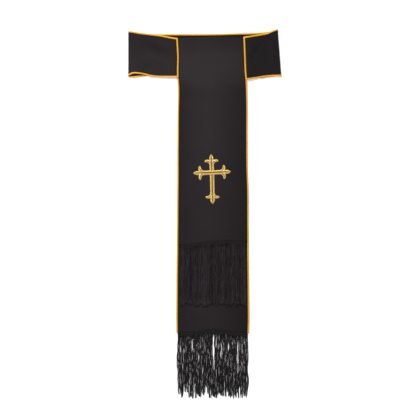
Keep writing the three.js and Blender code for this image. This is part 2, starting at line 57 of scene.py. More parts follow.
def table(columns, rows):
    """Named columns of a short table as arrays, turned from millimetres into metres."""
    return dict(zip(columns.split(), np.array(rows, float).T * MM))


# Sizes in metres. BAND_CREASE_EDGE is a share of the waistband's depth.
MIDDLE_X = 20 * MM
BAND_DEPTH = 104 * MM
BAND_EDGE_RUN = 14 * MM
BAND_STEP, BAND_FINE_STEP = 2.2 * MM, 1.2 * MM
BAND_CREASE_EDGE = 0.09
BAND_PIPING_HEIGHT = 2.8 * MM
FALL_LEFT, FALL_WIDTH = -68 * MM, 178 * MM
FALL_FOOT = -300 * MM
FALL_STEP, FALL_ROW_EDGE = 2.4 * MM, 2 * MM
FALL_BEND_RUN = 50 * MM
FALL_SINK = 1.2 * MM
FALL_WALL = 1.4 * MM
SEAM_GAP = 0.3 * MM
FALL_PIPING_HEIGHT = 2 * FALL_WALL + SEAM_GAP
OVER_BACK = 3.13 * MM
CREASE_LIMIT = 0.25 * MM
TUCK = 1.5 * MM
STITCH_INSET = 4.6 * MM
UP = np.array([0.0, 0.0, 1.0])

# Counts: the flat sides of each kind of tube, the points across the waistband for its cloth, its
# piping and its stitches, and the columns across a fall
CORD_SIDES, HEADER_SIDES, THREAD_SIDES = 16, 12, 5
CLOTH_SHARES, PIPING_SHARES, STITCHING_SHARES = 44, 49, 105
FALL_COLUMNS = 75

# The share of a fall's width in which its outermost columns lie closer, and the turns of a fold
FALL_COLUMN_EDGE = 0.012
FOLD_TURNS = np.linspace(0, np.pi, 9)

# The waistband in millimetres: one row for each section across it, from the end at the left of the
# falls round the back to the end at the right. x is at the bottom edge and lean moves the top edge
# sideways; top and bottom are the y of the piping; the rest are heights of the cloth. The x of an
# end is worked out, because it lies along the falls' edge.
SECTION = "x lean top bottom z_top z_middle z_bottom"
END_HEIGHTS = (8.13, 8.13, 8.13)
BACK_HEIGHTS = (1.43, 0.8, 1.43)
LEFT_END = table(SECTION, [(0, 0, 444.8, 348.8, *END_HEIGHTS)])
FRONT_LEFT = table(SECTION, [
    (-77, 0, 445.5, 348.8, *END_HEIGHTS),
    (-85, 0, 447.0, 348.8, 7.2, 7.0, 7.2),
    (-97, 0, 449.4, 349.1, 5.8, 5.2, 6.0),
    (-113, 0, 452.6, 349.4, 4.9, 3.9, 5.0),
    (-134, 0, 455.2, 351.1, 4.8, 3.5, 5.2),
    (-152, 0, 457.2, 355.4, 5.0, 4.0, 6.5),
    (-167, 0, 459.1, 357.8, 5.3, 4.8, 7.8),
    (-182, 0, 461.8, 358.1, 5.6, 5.2, 7.9),
])
LEFT_FOLD = table(SECTION, [
    (-193.6, 0, 463.0, 354.4, 5.6, 5.0, 7.0),
    (-193.6, 0, 463.0, 349.4, *BACK_HEIGHTS),
])
BACK = table(SECTION, [(*place, *BACK_HEIGHTS) for place in (
    (-182, 0, 461.8, 348.8),
    (-167, 0, 459.1, 350.0),
    (-152, 0, 457.4, 352.4),
    (-134, 0, 455.7, 353.6),
    (-113, 0, 455.6, 355.2),
    (-95, 0, 455.8, 355.8),
    (-30, 0, 455.8, 355.9),
    (20, 0, 456.1, 355.9),
    (87, 0, 457.8, 355.9),
    (123, 0, 458.5, 349.5),
    (143, 0, 459.9, 347.7),
    (159, 0, 461.0, 349.6),
    (173, -4, 463.5, 351.3),
    (184, -7, 466.0, 352.3),
)])
RIGHT_FOLD = table(SECTION, [
    (193.6, -8.9, 467.9, 352.0, *BACK_HEIGHTS),
    (193.6, -8.9, 467.9, 352.2, 5.6, 4.6, 5.8),
])
FRONT_RIGHT = table(SECTION, [
    (184, -7, 465.8, 351.9, 5.4, 4.4, 5.4),
    (173, -4, 462.6, 351.7, 5.2, 4.1, 5.1),
    (159, 0, 458.4, 350.7, 5.0, 3.7, 4.9),
    (146, 0, 455.7, 349.0, 4.9, 3.7, 4.9),
    (132, 0, 453.4, 346.6, 5.3, 4.6, 5.4),
    (121, 0, 451.3, 345.0, 6.8, 6.6, 6.8),
    (113, 0, 449.9, 343.6, *END_HEIGHTS),
])
RIGHT_END = table(SECTION, [(0, 0, 448.0, 342.8, *END_HEIGHTS)])

# The falls' side edges: the x of each piping's middle at y.
FALL_EDGES = table("y left right", [
    (-302, -70.1, 110.8),
    (-258, -70.6, 111.8),
    (-136, -69.9, 110.6),
    (-91, -69.2, 110.0),
    (46, -68.3, 109.7),
    (77, -68.0, 109.1),
    (107, -67.9, 107.9),
    (138, -67.9, 107.2),
    (260, -67.2, 107.3),
    (290, -66.4, 107.1),
    (321, -65.9, 106.2),
    (345, -68.1, 104.9),
    (366, -68.3, 103.2),
    (397, -67.5, 102.1),
    (427, -68.9, 100.9),
    (452, -70.6, 99.9),
])

# Where the falls begin to rise from the table on to the waistband's back, and over what length, in
# millimetres
DROP_FOOT, DROP_RUN = 292, 45

# Soft creases: where each runs from and to, how wide it is to either side, and how deep it is. A
# ridge has a depth below zero.
CREASE = "x0 y0 x1 y1 half depth"
FRONT_CREASES = table(CREASE, [
    (-152, 437, -78, 396, 8, 1.15),
    (-158, 410, -90, 380, 10, -0.80),
    (-164, 367, -128, 378, 7, 0.60),
    (-186, 368, -168, 392, 8, -0.45),
    (-121, 438, -86, 424, 6, -0.45),
    (-187, 452, -186, 368, 5, -0.35),
    (108, 384, 146, 440, 6, 0.90),
    (112, 420, 122, 398, 7, -0.50),
    (126, 392, 138, 362, 8, -0.40),
    (178, 452, 184, 364, 3.5, 0.45),
    (150, 440, 160, 370, 9, 0.30),
])
BACK_CREASES = table(CREASE, [
    (-150, 380, -60, 430, 14, -0.20),
    (60, 440, 150, 372, 12, -0.20),
])
FALL_CREASES = table(CREASE, [
    (-40, 330, 60, 318, 22, -0.40),
    (-52, 250, -38, 120, 15, 0.35),
    (78, 240, 92, 60, 16, 0.40),
    (-30, 210, 20, 175, 18, -0.25),
    (30, 40, 70, -40, 14, -0.30),
    (-50, 30, -20, -50, 12, 0.30),
])
LONG_FALL_CREASES = table(CREASE, [
    (-48, -238, 10, -262, 11, -0.30),
    (52, -244, 96, -276, 10, -0.25),
])

# Where the long fringe parts: x, how far below its header the gap opens and closes, and half its
# width.
PARTINGS = table("x start stop half", [
    (-50, 6, 30, 0.9),
    (-32, 4, 48, 1.2),
    (-37, 88, 136, 0.9),
    (-28, 114, 190, 2.4),
    (-20.5, 16, 42, 1.2),
    (-12, 14, 44, 1.2),
    (3, 88, 112, 0.8),
    (4, 128, 190, 1.7),
    (23, 0, 98, 2.3),
    (29, 2, 44, 1.0),
    (34, 18, 52, 1.2),
    (42, 12, 66, 1.6),
    (47, 8, 40, 1.2),
    (52, 40, 80, 1.4),
    (60, 14, 48, 1.5),
    (69, 48, 92, 1.5),
    (85, 8, 104, 1.8),
    (95, 10, 62, 1.6),
    (51, 134, 190, 1.0),
    (89, 122, 190, 1.9),
])


# Over how many millimetres a gap opens and closes, and how far from it strands still give way
PARTING_RUN = 16
PARTING_REACH = 7 * MM

# How far the strands by each side of the long fringe lean out, how far down that is, and half the
# height of the lean, in millimetres; and how far in from the side they still lean.
LEANS = {"left": (-5.5, 62, 24), "right": (3.6, 118, 26)}
LEAN_REACH = 16 * MM

# The waves that a lock and a single strand make as they hang: size and length in millimetres
LOCK_WAVES = ((0.7, 75), (0.4, 34))
STRAND_WAVES = ((0.75, 96), (0.4, 37))

# Locks and strands: how much of where a tip ends is the lock's, how many strands end early and by
# how many millimetres, and how high each layer lies, in thicknesses of yarn
LOCK_WIDTH = 3.8 * MM
LOCK_SHARE = 0.82
EARLY_STRANDS, EARLY_BY = 0.08, (5, 26)
LAYER_BASE, LAYER_RISE = 0.5, 0.82
STRAND_STEPS = 31

# The woven headers, and how light they are: kept dark as painted shade under the hem
HEADER_DEPTH = 6 * MM
HEADER_THICK = 2.9 * MM
HEADER_OVERLAP = 0.6 * MM
HEADER_WRAP = 1.4 * MM
HEADER_TONE_WITH_PAINTED_SHADE = 0.42

# Edge stitches: points along one, lengths from one to the next, how much of its width it dips, and
# the rows between a fall's edge and its stitches
STITCH_STEPS = 6
STITCH_PITCH = 1.25
STITCH_DIP = 0.55
END_ROWS = 5

# The cross: where its bars cross, and for each arm its length in millimetres, how far it is turned
# in degrees, and how broad its middle petal is as a share of the usual. The bars of the two side
# arms run on over the crossing, and the upright ones begin beside it. Each column of satin stitch
# runs between a spine and an edge, given as out from the arm's middle and back from its tip, in
# millimetres, from the root of the petal to its end.
CROSS_PLACE = np.array([18.7, 105.7]) * MM
ARMS = {
    "top": (46.2, 3.0, 1.0),
    "left": (47.2, 91.7, 1.0),
    "foot": (78.7, 181.1, 1.18),
    "right": (47.2, 273.2, 1.05),
}
SIDE_ARMS = ("left", "right")
UPRIGHT_ROOT = 3
HALF_BAR = 5.6
BAR_END, BAR_LAP = 23.5, 3
SATIN_SLANT = 1.6
SATIN_SHARES = np.array([0, 0.08, 0.2, 0.38, 0.58, 0.76, 0.9, 1.0])
SATIN_CROWN = 1.2 * MM
MIDDLE_PETAL = (
    table("out back", [(0, 22.5), (0, 11.5), (0, 2)]),
    table("out back", [(4.0, 20.5), (4.2, 14), (5.2, 9.4), (4.6, 6), (2.8, 2.8), (0.2, -0.4)]),
)
SIDE_PETAL_SPINE = table("out back", [(1.8, 23.5), (5, 20), (9, 17.2), (12.5, 16), (14.8, 16.3)])
SIDE_PETAL_FRONT = (
    SIDE_PETAL_SPINE,
    table("out back", [(4.6, 13.4), (8.2, 12.9), (12.2, 12.8), (15.4, 13.8), (17.3, 15.4), (17.8, 17)]),
)
SIDE_PETAL_BACK = (
    SIDE_PETAL_SPINE,
    table("out back", [(5.6, 26.6), (6.8, 23), (9.2, 20.4), (12.4, 19.3), (15.4, 19.2), (17.2, 18.5),
                       (17.8, 17)]),
)

# The stage: for each light its place, its size and its share of the main light's power, and then
# what it faces, the camera's place and the floor
LIGHTS = {
    "key": ((-1.15, 1.65, 2.1), 1.0, 1.0),
    "front fill": ((1.0, -1.4, 2.5), 2.2, 0.22),
}
LIGHT_AIM = np.array([0.0, 0.1, 0.0])
CAMERA_X, CAMERA_Y = 8.3 * MM, 16 * MM
FLOOR_HALF, FLOOR_Z = 20.0, -0.05 * MM


def srgb(red, green, blue, alpha=1.0):
    """A colour given as 0 to 255 on screen, as the linear colour that a material holds."""
    shown = np.array([red, green, blue]) / 255
    linear = np.where(shown > 0.04045, ((shown + 0.055) / 1.055) ** 2.4, shown / 12.92)
    return (*linear.tolist(), alpha)


# Plain maths

def ease(share):
    """Rises from 0 to 1 with level ends: 3s^2 - 2s^3, with s held between 0 and 1."""
    held = np.clip(share, 0, 1)
    return held * held * (3 - 2 * held)


def ramp(value, start, run):
    """Eased from 0 to 1 as a value in metres goes from start on by run, both in millimetres."""
    return ease((value / MM - start) / run)


def normalised(vectors):
    """Each vector divided by its length."""
    return vectors / np.maximum(np.linalg.norm(vectors, axis=-1, keepdims=True), 1e-12)


def distances(points):
    """Distance travelled along a line of points, from 0 at the first."""
    steps = np.linalg.norm(np.diff(points, axis=-2), axis=-1)
    start = np.zeros((*steps.shape[:-1], 1))
    return np.concatenate([start, np.cumsum(steps, axis=-1)], axis=-1)


def points_at(points, travelled, at):
    """Points at distances along a line, on the straight between two of its points."""
    return np.stack([np.interp(at, travelled, column) for column in points.T], axis=-1)


def curve_through(points, stations, at):
    """Points of a smooth curve through rows of points, at distances along it.

    Between two rows it is the cubic whose slope at each row is that of the chord between the rows
    on either side.
    """
    padded = np.pad(points, ((1, 1), *[(0, 0)] * (points.ndim - 1)), mode="edge")
    spans = np.pad(stations, 1, mode="edge")
    spans = (spans[2:] - spans[:-2]).reshape(-1, *[1] * (points.ndim - 1))
    slopes = (padded[2:] - padded[:-2]) / spans
    i = np.clip(np.searchsorted(stations, at, side="right") - 1, 0, len(stations) - 2)
    shape = (-1, *[1] * (points.ndim - 1))
    span = (stations[i + 1] - stations[i]).reshape(shape)
    t = (at - stations[i]).reshape(shape) / span
    before = (2 * t**3 - 3 * t**2 + 1) * points[i] + (t**3 - 2 * t**2 + t) * span * slopes[i]
    after = (3 * t**2 - 2 * t**3) * points[i + 1] + (t**3 - t**2) * span * slopes[i + 1]
    return before + after


def fine_stations(stations, step):
    """Distances that keep every station and divide each gap into steps no longer than step."""
    counts = np.maximum(np.ceil(np.diff(stations) / step).astype(int), 2)
    parts = [np.linspace(a, b, n, endpoint=False)
             for a, b, n in zip(stations[:-1], stations[1:], counts)]
    return np.concatenate([*parts, stations[-1:]])


def shares_between(count, edge_share):
    """Shares from 0 to 1, evenly spaced but for four closer ones by each end."""
    inner = np.linspace(edge_share, 1 - edge_share, count)
    ends = np.array([0, 0.1, 0.35, 0.65]) * edge_share
    return np.concatenate([ends, inner, 1 - ends[::-1]])


def surface_normals(grid):
    """Normal at each point of a grid: the step across it crossed with the step along it."""
    across = np.gradient(grid, axis=1)
    along = np.gradient(grid, axis=0)
    return normalised(np.cross(across, along))


def crease_depth(creases, x, y):
    """How far creases lower a surface: the sum of troughs shaped exp(-(distance / half)^2).

    Each trough fades in and out over 0.4 of its run, from a tenth beyond each end.
    """
    total = np.zeros(np.broadcast(x, y).shape)
    for x0, y0, x1, y1, half, depth in zip(*creases.values()):
        run = np.hypot(x1 - x0, y1 - y0)
        along = ((x - x0) * (x1 - x0) + (y - y0) * (y1 - y0)) / run**2
        aside = ((x - x0) * (y1 - y0) - (y - y0) * (x1 - x0)) / run
        fade = ease((along + 0.1) / 0.4) * ease((1.1 - along) / 0.4)
        total += depth * fade * np.exp(-((aside / half) ** 2))
    return total


# The waistband's surface

def section_points(rows, shares):
    """Points of straight sections from the bottom edge to the top one.

    z is z_middle, eased to z_bottom and z_top over the last part of the way to each edge.
    """
    height = (rows["top"] - rows["bottom"])[:, None]
    by_bottom = 1 - ease(shares * height / BAND_EDGE_RUN)
    by_top = 1 - ease((1 - shares) * height / BAND_EDGE_RUN)
    middle = rows["z_middle"][:, None]
    z = middle + (rows["z_bottom"][:, None] - middle) * by_bottom
    z = z + (rows["z_top"][:, None] - middle) * by_top
    x = rows["x"][:, None] + rows["lean"][:, None] * shares
    y = rows["bottom"][:, None] + height * shares
    return np.stack([x, y, z], axis=-1)


def fall_edge(y, side):
    """The x of the falls' edge on one side, at y."""
    return np.interp(y, FALL_EDGES["y"], FALL_EDGES[side])


def end_points(end, side, shares):
    """The waistband's end, which lies along the falls' edge."""
    points = section_points(end, shares)
    points[..., 0] = fall_edge(points[..., 1], side)
    return points


def fold_points(fold, outward, shares):
    """A fold: half circles from the section before it to the one after, turned 0 to pi.

    A point is the middle of the two plus half their difference times cos(turn), and reaches
    outwards by the radius times sin(turn) - 1.
    """
    start, end = section_points(fold, shares)
    radius = np.abs(start[:, 2] - end[:, 2]) / 2
    points = (start + end) / 2 + (start - end) / 2 * np.cos(FOLD_TURNS)[:, None, None]
    points[..., 0] += outward * radius * (np.sin(FOLD_TURNS)[:, None] - 1)
    return points


def band_surface(shares, step=BAND_STEP):
    """The waistband's middle surface, its distances along, and the row at the middle of its back.

    Creases lower its front and its back, and fade out by its edges.
    """
    rough = np.concatenate([
        end_points(LEFT_END, "left", shares),
        section_points(FRONT_LEFT, shares),
        fold_points(LEFT_FOLD, -1, shares),
        section_points(BACK, shares),
        fold_points(RIGHT_FOLD, 1, shares),
        section_points(FRONT_RIGHT, shares),
        end_points(RIGHT_END, "right", shares),
    ])
    stations = distances(rough[:, len(shares) // 2])
    at = fine_stations(stations, step)
    points = curve_through(rough, stations, at)
    facing_up = surface_normals(points)[..., 2:] > 0.5
    in_front = crease_depth(FRONT_CREASES, points[..., 0], points[..., 1])[..., None]
    behind = crease_depth(BACK_CREASES, points[..., 0], points[..., 1])[..., None]
    by_edge = ease(np.minimum(shares, 1 - shares) / BAND_CREASE_EDGE)[None, :, None]
    points[..., 2:] -= np.where(facing_up, in_front, behind) * by_edge
    from_middle = np.abs(points[:, 0, 0] - MIDDLE_X) + (points[:, 0, 2] > 2 * MM)
    return points, at, int(np.argmin(from_middle))


def band_tone_with_painted_shade(x, y, z):
    """How light the waistband's cloth is.

    Its front is darker on the flap at the right, and a little darker towards the top of the flap at the
    left. So is the inner face of its back, which shows over the falls. All of this is painted shade: the
    inner face stands for the falls' shadow, and the creases get painted shade in their troughs and painted
    highlight on their ridges.
    """
    in_front = ramp(z, 1.8, 1)
    right = ramp(x, 90, 20)
    right_flap_shade = 0.41 + 0.08 * ramp(x, 122, 20)
    left_flap_shade = 0.02 + 0.2 * ramp(y, 375, 60)
    shade = right * right_flap_shade + (1 - right) * left_flap_shade
    inner_face_shade = (z > 0.8 * MM) * (z < 2.4 * MM) * ramp(-np.abs(x), -187, 4)
    tone = 1 - shade * in_front - 0.45 * inner_face_shade
    return tone - crease_painted_shade(FRONT_CREASES, x, y) * in_front


# The falls' surface

def short_top(x):
    """The short fall's top edge, a shallow arch."""
    return 450.3 * MM - 0.5 * (x - 30 * MM) ** 2


def short_hem(x):
    """The short fall's hem, which rises to the right and dips a little by its right side."""
    return (-79.5 + 10.7 * ramp(x, -65, 110) - 3 * ramp(x, 70, 40)) * MM


def long_top(x):
    """The long fall's top edge, 3 mm under the short one's."""
    return short_top(x) - 3 * MM


def long_hem(x):
    """The long fall's hem, lifted in a low hump near its middle."""
    return -301.5 * MM + 7.4 * MM * np.exp(-(((x - 22 * MM) / (36 * MM)) ** 2))


def from_edge(x, y):
    """Distance to the nearer side edge of the falls."""
    return np.minimum(x - fall_edge(y, "left"), fall_edge(y, "right") - x)


def fall_base(x, y):
    """Height of the falls' underside: 0 on the table, and raised over the waistband's back.

    Over the back it sinks a little, inside the piping that runs all round the back.
    """
    inside = ramp(from_edge(x, y), 12, 30)
    above_edge = ramp(y, 362, 20)
    below_top = 1 - 0.5 * ramp(y, 436, 14)
    return ramp(y, DROP_FOOT, DROP_RUN) * (OVER_BACK - FALL_SINK * inside * above_edge * below_top)


def long_height(x, y):
    """Height of the middle of the long fall's cloth."""
    return fall_base(x, y) + FALL_WALL / 2


def short_height(x, y):
    """Height of the middle of the short fall's cloth, with ripples towards its hem."""
    wave = 0.5 - 0.5 * np.cos(2 * np.pi * (x - 28 * MM) / (74 * MM))
    low = ramp(-y, -20, 60)
    inside = ramp(from_edge(x, y), 8, 20)
    return long_height(x, y) + FALL_WALL + SEAM_GAP + 0.9 * MM * wave * low * inside


def fall_surface(top, hem, height, creases, inset):
    """A fall's middle surface from its top edge to its hem, and each point's u and v.

    Rows are level, and bend to follow the top edge and the hem where these are near.
    """
    high, low = top(MIDDLE_X), hem(MIDDLE_X)
    rows = shares_between(int((high - low) / FALL_STEP), FALL_ROW_EDGE / (high - low))[:, None]
    columns = shares_between(FALL_COLUMNS, FALL_COLUMN_EDGE)[None, :]
    level = high + (low - high) * rows
    guess = FALL_LEFT + FALL_WIDTH * (1 - columns)
    near_top = ease(1 - (high - level) / FALL_BEND_RUN)
    near_hem = ease(1 - (level - low) / FALL_BEND_RUN)
    y = level + (top(guess) - high) * near_top + (hem(guess) - low) * near_hem
    left = fall_edge(y, "left") + inset
    right = fall_edge(y, "right") - inset
    x = right + (left - right) * columns
    lowered = np.minimum(crease_depth(creases, x, y), CREASE_LIMIT) * ramp(from_edge(x, y), 0, 16)
    z = height(x, y) - lowered
    return np.stack([x, y, z], axis=-1), np.stack([-x, y], axis=-1)


def crease_painted_shade(creases, x, y):
    """Painted shade and highlight: how much darker cloth is made in a crease's troughs, and lighter on its
    ridges.
    """
    return 0.11 * crease_depth(creases, x, y) / MM


def fall_tone_with_painted_light(x, y, hem):
    """How light the falls' cloth is.

    It is lightest in the middle and where it lies over the waistband, and darkest by its right side, its
    top edge and its hem. All of this is painted light and shade.
    """
    raised = 0.15 * ramp(y, -40, 230) + 0.085 * ramp(y, 280, 70)
    by_top = 0.3 * ramp(y, 392, 50)
    below_band = 1 - ramp(y, 300, 60)
    low = 1 - ramp(y, -60, 300)
    aside = (x - 18 * MM) / (76 * MM)
    left_shade = (0.31 - 0.11 * low) * below_band * np.clip(-aside, 0, 1.1) ** 2
    right_shade = (0.18 + 0.25 * below_band - 0.08 * low) * np.clip(aside, 0, 1.1)
    hem_shade = 0.8 * ramp(hem(x) - y, -3, 2.5)
    return (0.985 + raised - by_top) * (1 - left_shade - right_shade) * (1 - hem_shade)


# Meshes

def add_object(name, data):
    """An object for a mesh, a light or a camera, in the scene."""
    added = bpy.data.objects.new(name, data)
    bpy.context.scene.collection.objects.link(added)
    return added


def make_piece(name, vertices, faces, face_uv, tone, material, replaced=()):
    """A smooth mesh object in its place, which rides on the root body.

    face_uv has a row for each corner of the faces, in order. tone is one number a vertex, which the
    materials read as a small change of colour: the thing's own tone, and on the cloth, the yarn and the
    cross also painted shade and light.
    the materials read as a small change of colour.
    """
    mesh = bpy.data.meshes.new(name)
    mesh.from_pydata(vertices, [], faces)
    mesh.shade_smooth()
    mesh.uv_layers.new(name="surface").uv.foreach_set("vector", face_uv.ravel())
    mesh.attributes.new("tone", "FLOAT", "POINT").data.foreach_set("value", tone.ravel())
    mesh.materials.append(material)
    piece = add_object(name, mesh)
    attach(piece, "root")
    if replaced:
        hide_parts(*replaced)


def quads(corners):
    """Four-sided faces, from an array of vertex numbers for each of their corners."""
    return np.stack([corner.ravel() for corner in corners], axis=1)


def shell(grid, uv, thickness):
    """A closed cloth shell about a grid of middle points, with rounded edges.

    Each side stands off the middle by half the thickness h times sqrt(1 - (1 - d / h)^2), where d
    is the distance from the edge, so that both sides meet in a round rim.
    """
    half = thickness / 2
    along = distances(grid.swapaxes(0, 1)).T
    across = distances(grid)
    to_edge = np.minimum.reduce([along, along[-1] - along, across, across[:, -1:] - across])
    stand = half * np.sqrt(1 - (1 - np.clip(to_edge / half, 0, 1)) ** 2)
    offset = surface_normals(grid) * stand[..., None]
    rows, columns = grid.shape[:2]
    upper = np.arange(rows * columns).reshape(rows, columns)
    lower = upper + rows * columns
    for edge in (np.s_[0, :], np.s_[-1, :], np.s_[:, 0], np.s_[:, -1]):
        lower[edge] = upper[edge]
    sides = []
    for index, flip in ((upper, False), (lower, True)):
        corners = (index[:-1, :-1], index[:-1, 1:], index[1:, 1:], index[1:, :-1])
        sides.append(quads(corners[::-1] if flip else corners))
    faces = np.concatenate(sides)
    used, faces = np.unique(faces, return_inverse=True)
    faces = faces.reshape(-1, 4)
    vertices = np.concatenate([(grid + offset).reshape(-1, 3), (grid - offset).reshape(-1, 3)])[used]
    vertex_uv = np.concatenate([uv.reshape(-1, 2)] * 2)[used]
    return vertices, faces.tolist(), vertex_uv[faces.ravel()]


def tubes(paths, asides, ups, across, thick, sides):
    """Closed tubes along many paths of as many points each, joined in one mesh.

    A ring's point is the path's point plus aside times cos(a) times half of across, plus up times
    sin(a) times half of thick. u is the share round a tube and v the distance along it.
    """
    count, steps = paths.shape[:2]
    angles = 2 * np.pi * (np.arange(sides) + 0.5) / sides
    wide = np.broadcast_to(across, (count, steps))[..., None, None] / 2
    high = np.broadcast_to(thick, (count, steps))[..., None, None] / 2
    rings = paths[:, :, None] + asides[:, :, None] * np.cos(angles)[:, None] * wide
    rings = rings + ups[:, :, None] * np.sin(angles)[:, None] * high
    index = np.arange(count * steps * sides).reshape(count, steps, sides)
    turned = np.roll(index, -1, axis=2)
    walls = quads((index[:, :-1], turned[:, :-1], turned[:, 1:], index[:, 1:]))
    caps = np.concatenate([index[:, 0, ::-1], index[:, -1]])
    left = np.arange(sides) / sides
    right = left + 1 / sides
    travelled = distances(paths)[..., None]
    here, there = travelled[:, :-1], travelled[:, 1:]
    corners = ((left, here), (right, here), (right, there), (left, there))
    corner_uv = [np.stack(np.broadcast_arrays(u, v), axis=-1) for u, v in corners]
    wall_uv = np.stack(corner_uv, axis=-2).reshape(-1, 2)
    cap_uv = np.zeros((caps.size, 2))
    faces = walls.tolist() + caps.tolist()
    return rings.reshape(-1, 3), faces, np.concatenate([wall_uv, cap_uv])


def framed(paths, ups):
    """Sideways and upright directions along paths, with mitred corners.

    The upright is the given one made square to the path, and the sideways one is longer at a
    corner by one over the cosine of half the turn, held where that is under 0.6.
    """
    steps = normalised(np.diff(paths, axis=1))
    arriving = np.concatenate([steps[:, :1], steps], axis=1)
    leaving = np.concatenate([steps, steps[:, -1:]], axis=1)
    along = normalised(arriving + leaving)
    upright = normalised(ups - along * np.sum(ups * along, axis=-1, keepdims=True))
    aside = np.cross(upright, along)
    square = normalised(np.cross(upright, arriving))
    mitre = 1 / np.maximum(np.sum(aside * square, axis=-1, keepdims=True), 0.6)
    return aside * mitre, upright


def make_tubes(name, paths, ups, across, thick, sides, tone, material, replaced=()):
    """A piece of closed tubes along paths, with a tone for each point of the paths."""
    vertices, faces, face_uv = tubes(paths, *framed(paths, ups), across, thick, sides)
    tone = np.repeat(np.broadcast_to(tone, paths.shape[:2]), sides)
    make_piece(name, vertices, faces, face_uv, tone, material, replaced)


# Materials

BLACK = (0.0, 0.0, 0.0, 1.0)
WHITE = (1.0, 1.0, 1.0, 1.0)


def link_or_set(tree, socket, value):
    """Joins a socket to another, or gives it a plain value."""
    if isinstance(value, bpy.types.NodeSocket):
        tree.links.new(value, socket)
    else:
        socket.default_value = value


def add_math(tree, operation, *values):
    """A Math node on up to three values or sockets."""
    node = tree.nodes.new("ShaderNodeMath")
    node.operation = operation
    for socket, value in zip(node.inputs, values):
        link_or_set(tree, socket, value)
    return node.outputs[0]


def add_node(tree, kind, **values):
    """A node whose named inputs are joined or set. Underscores stand for spaces."""
    node = tree.nodes.new(kind)
    for name, value in values.items():
        link_or_set(tree, node.inputs[name.replace("_", " ")], value)
    return node


def add_mix(tree, factor, start, end, clamped=True):
    """A colour between two others. The node's sockets for colours are found by number."""
    node = tree.nodes.new("ShaderNodeMix")
    node.data_type = "RGBA"
    node.clamp_factor = clamped
    for number, value in ((0, factor), (6, start), (7, end)):
        link_or_set(tree, node.inputs[number], value)
    return node.outputs[2]


def add_noise(tree, scale, detail):
    """Noise in the piece's own space, from 0 to 1."""
    place = add_node(tree, "ShaderNodeTexCoord").outputs["Object"]
    return add_node(tree, "ShaderNodeTexNoise", Vector=place, Scale=scale, Detail=detail).outputs["Fac"]


def new_group(name, inputs):
    """A shader node group with named number inputs, which puts out a height and a tone."""
    group = bpy.data.node_groups.new(name, "ShaderNodeTree")
    for label, value in inputs.items():
        socket = group.interface.new_socket(name=label, in_out="INPUT", socket_type="NodeSocketFloat")
        socket.default_value = value
    for label in ("Height", "Tone"):
        group.interface.new_socket(name=label, in_out="OUTPUT", socket_type="NodeSocketFloat")
    given = group.nodes.new("NodeGroupInput").outputs
    result = group.nodes.new("NodeGroupOutput").inputs
    return group, given, result


def surface_uv(tree):
    """The u and v sockets of the piece's own map."""
    place = tree.nodes.new("ShaderNodeUVMap")
    place.uv_map = "surface"
    parts = add_node(tree, "ShaderNodeSeparateXYZ", Vector=place.outputs["UV"])
    return parts.outputs["X"], parts.outputs["Y"]


def sine_wave(tree, turns):
    """A wave from 0 to 1 that repeats with each whole turn."""
    swing = add_math(tree, "SINE", add_math(tree, "MULTIPLY", turns, 2 * np.pi))
    return add_math(tree, "MULTIPLY_ADD", swing, 0.5, 0.5)


def twill_group():
    """Twill weave: diagonal ribs crossed by finer threads, with a slow mottle in the colour."""
    group, given, result = new_group("Twill weave", {"Pitch": 0.8 * MM})
    u, v = surface_uv(group)
    slant = add_math(group, "MULTIPLY_ADD", v, 0.7, u)
    ribs = sine_wave(group, add_math(group, "DIVIDE", slant, given["Pitch"]))
    half = add_math(group, "MULTIPLY", given["Pitch"], 0.5)
    threads = sine_wave(group, add_math(group, "DIVIDE", v, half))
    height = add_math(group, "MULTIPLY_ADD", threads, 0.3, ribs)
    mottle = add_math(group, "MULTIPLY_ADD", add_noise(group, 900, 2), 0.35, add_noise(group, 14, 3))
    group.links.new(height, result["Height"])
    group.links.new(add_math(group, "MULTIPLY", mottle, 0.75), result["Tone"])
    return group


def twist_group():
    """Thread wound round a piece: ridges that climb by one pitch in each turn about it. Its tone is
    painted highlight on the ridges and painted shade in the grooves, with a random mottle.
    """
    group, given, result = new_group("Wound thread", {"Pitch": 2 * MM, "Strands": 1.0})
    u, v = surface_uv(group)
    climb = add_math(group, "DIVIDE", v, given["Pitch"])
    turns = add_math(group, "MULTIPLY_ADD", u, given["Strands"], climb)
    ridges = sine_wave(group, turns)
    tone = add_math(group, "MULTIPLY_ADD", ridges, 0.4, add_noise(group, 60, 2))
    group.links.new(ridges, result["Height"])
    group.links.new(add_math(group, "MULTIPLY", tone, 0.7), result["Tone"])
    return group


def set_inputs(node, values):
    """Gives a node's named inputs plain values."""
    for socket, value in values.items():
        node.inputs[socket].default_value = value


def new_material(name):
    """A node material, its tree and its surface shader."""
    material = bpy.data.materials.new(name)
    material.use_nodes = True
    tree = material.node_tree
    return material, tree, tree.nodes["Principled BSDF"]


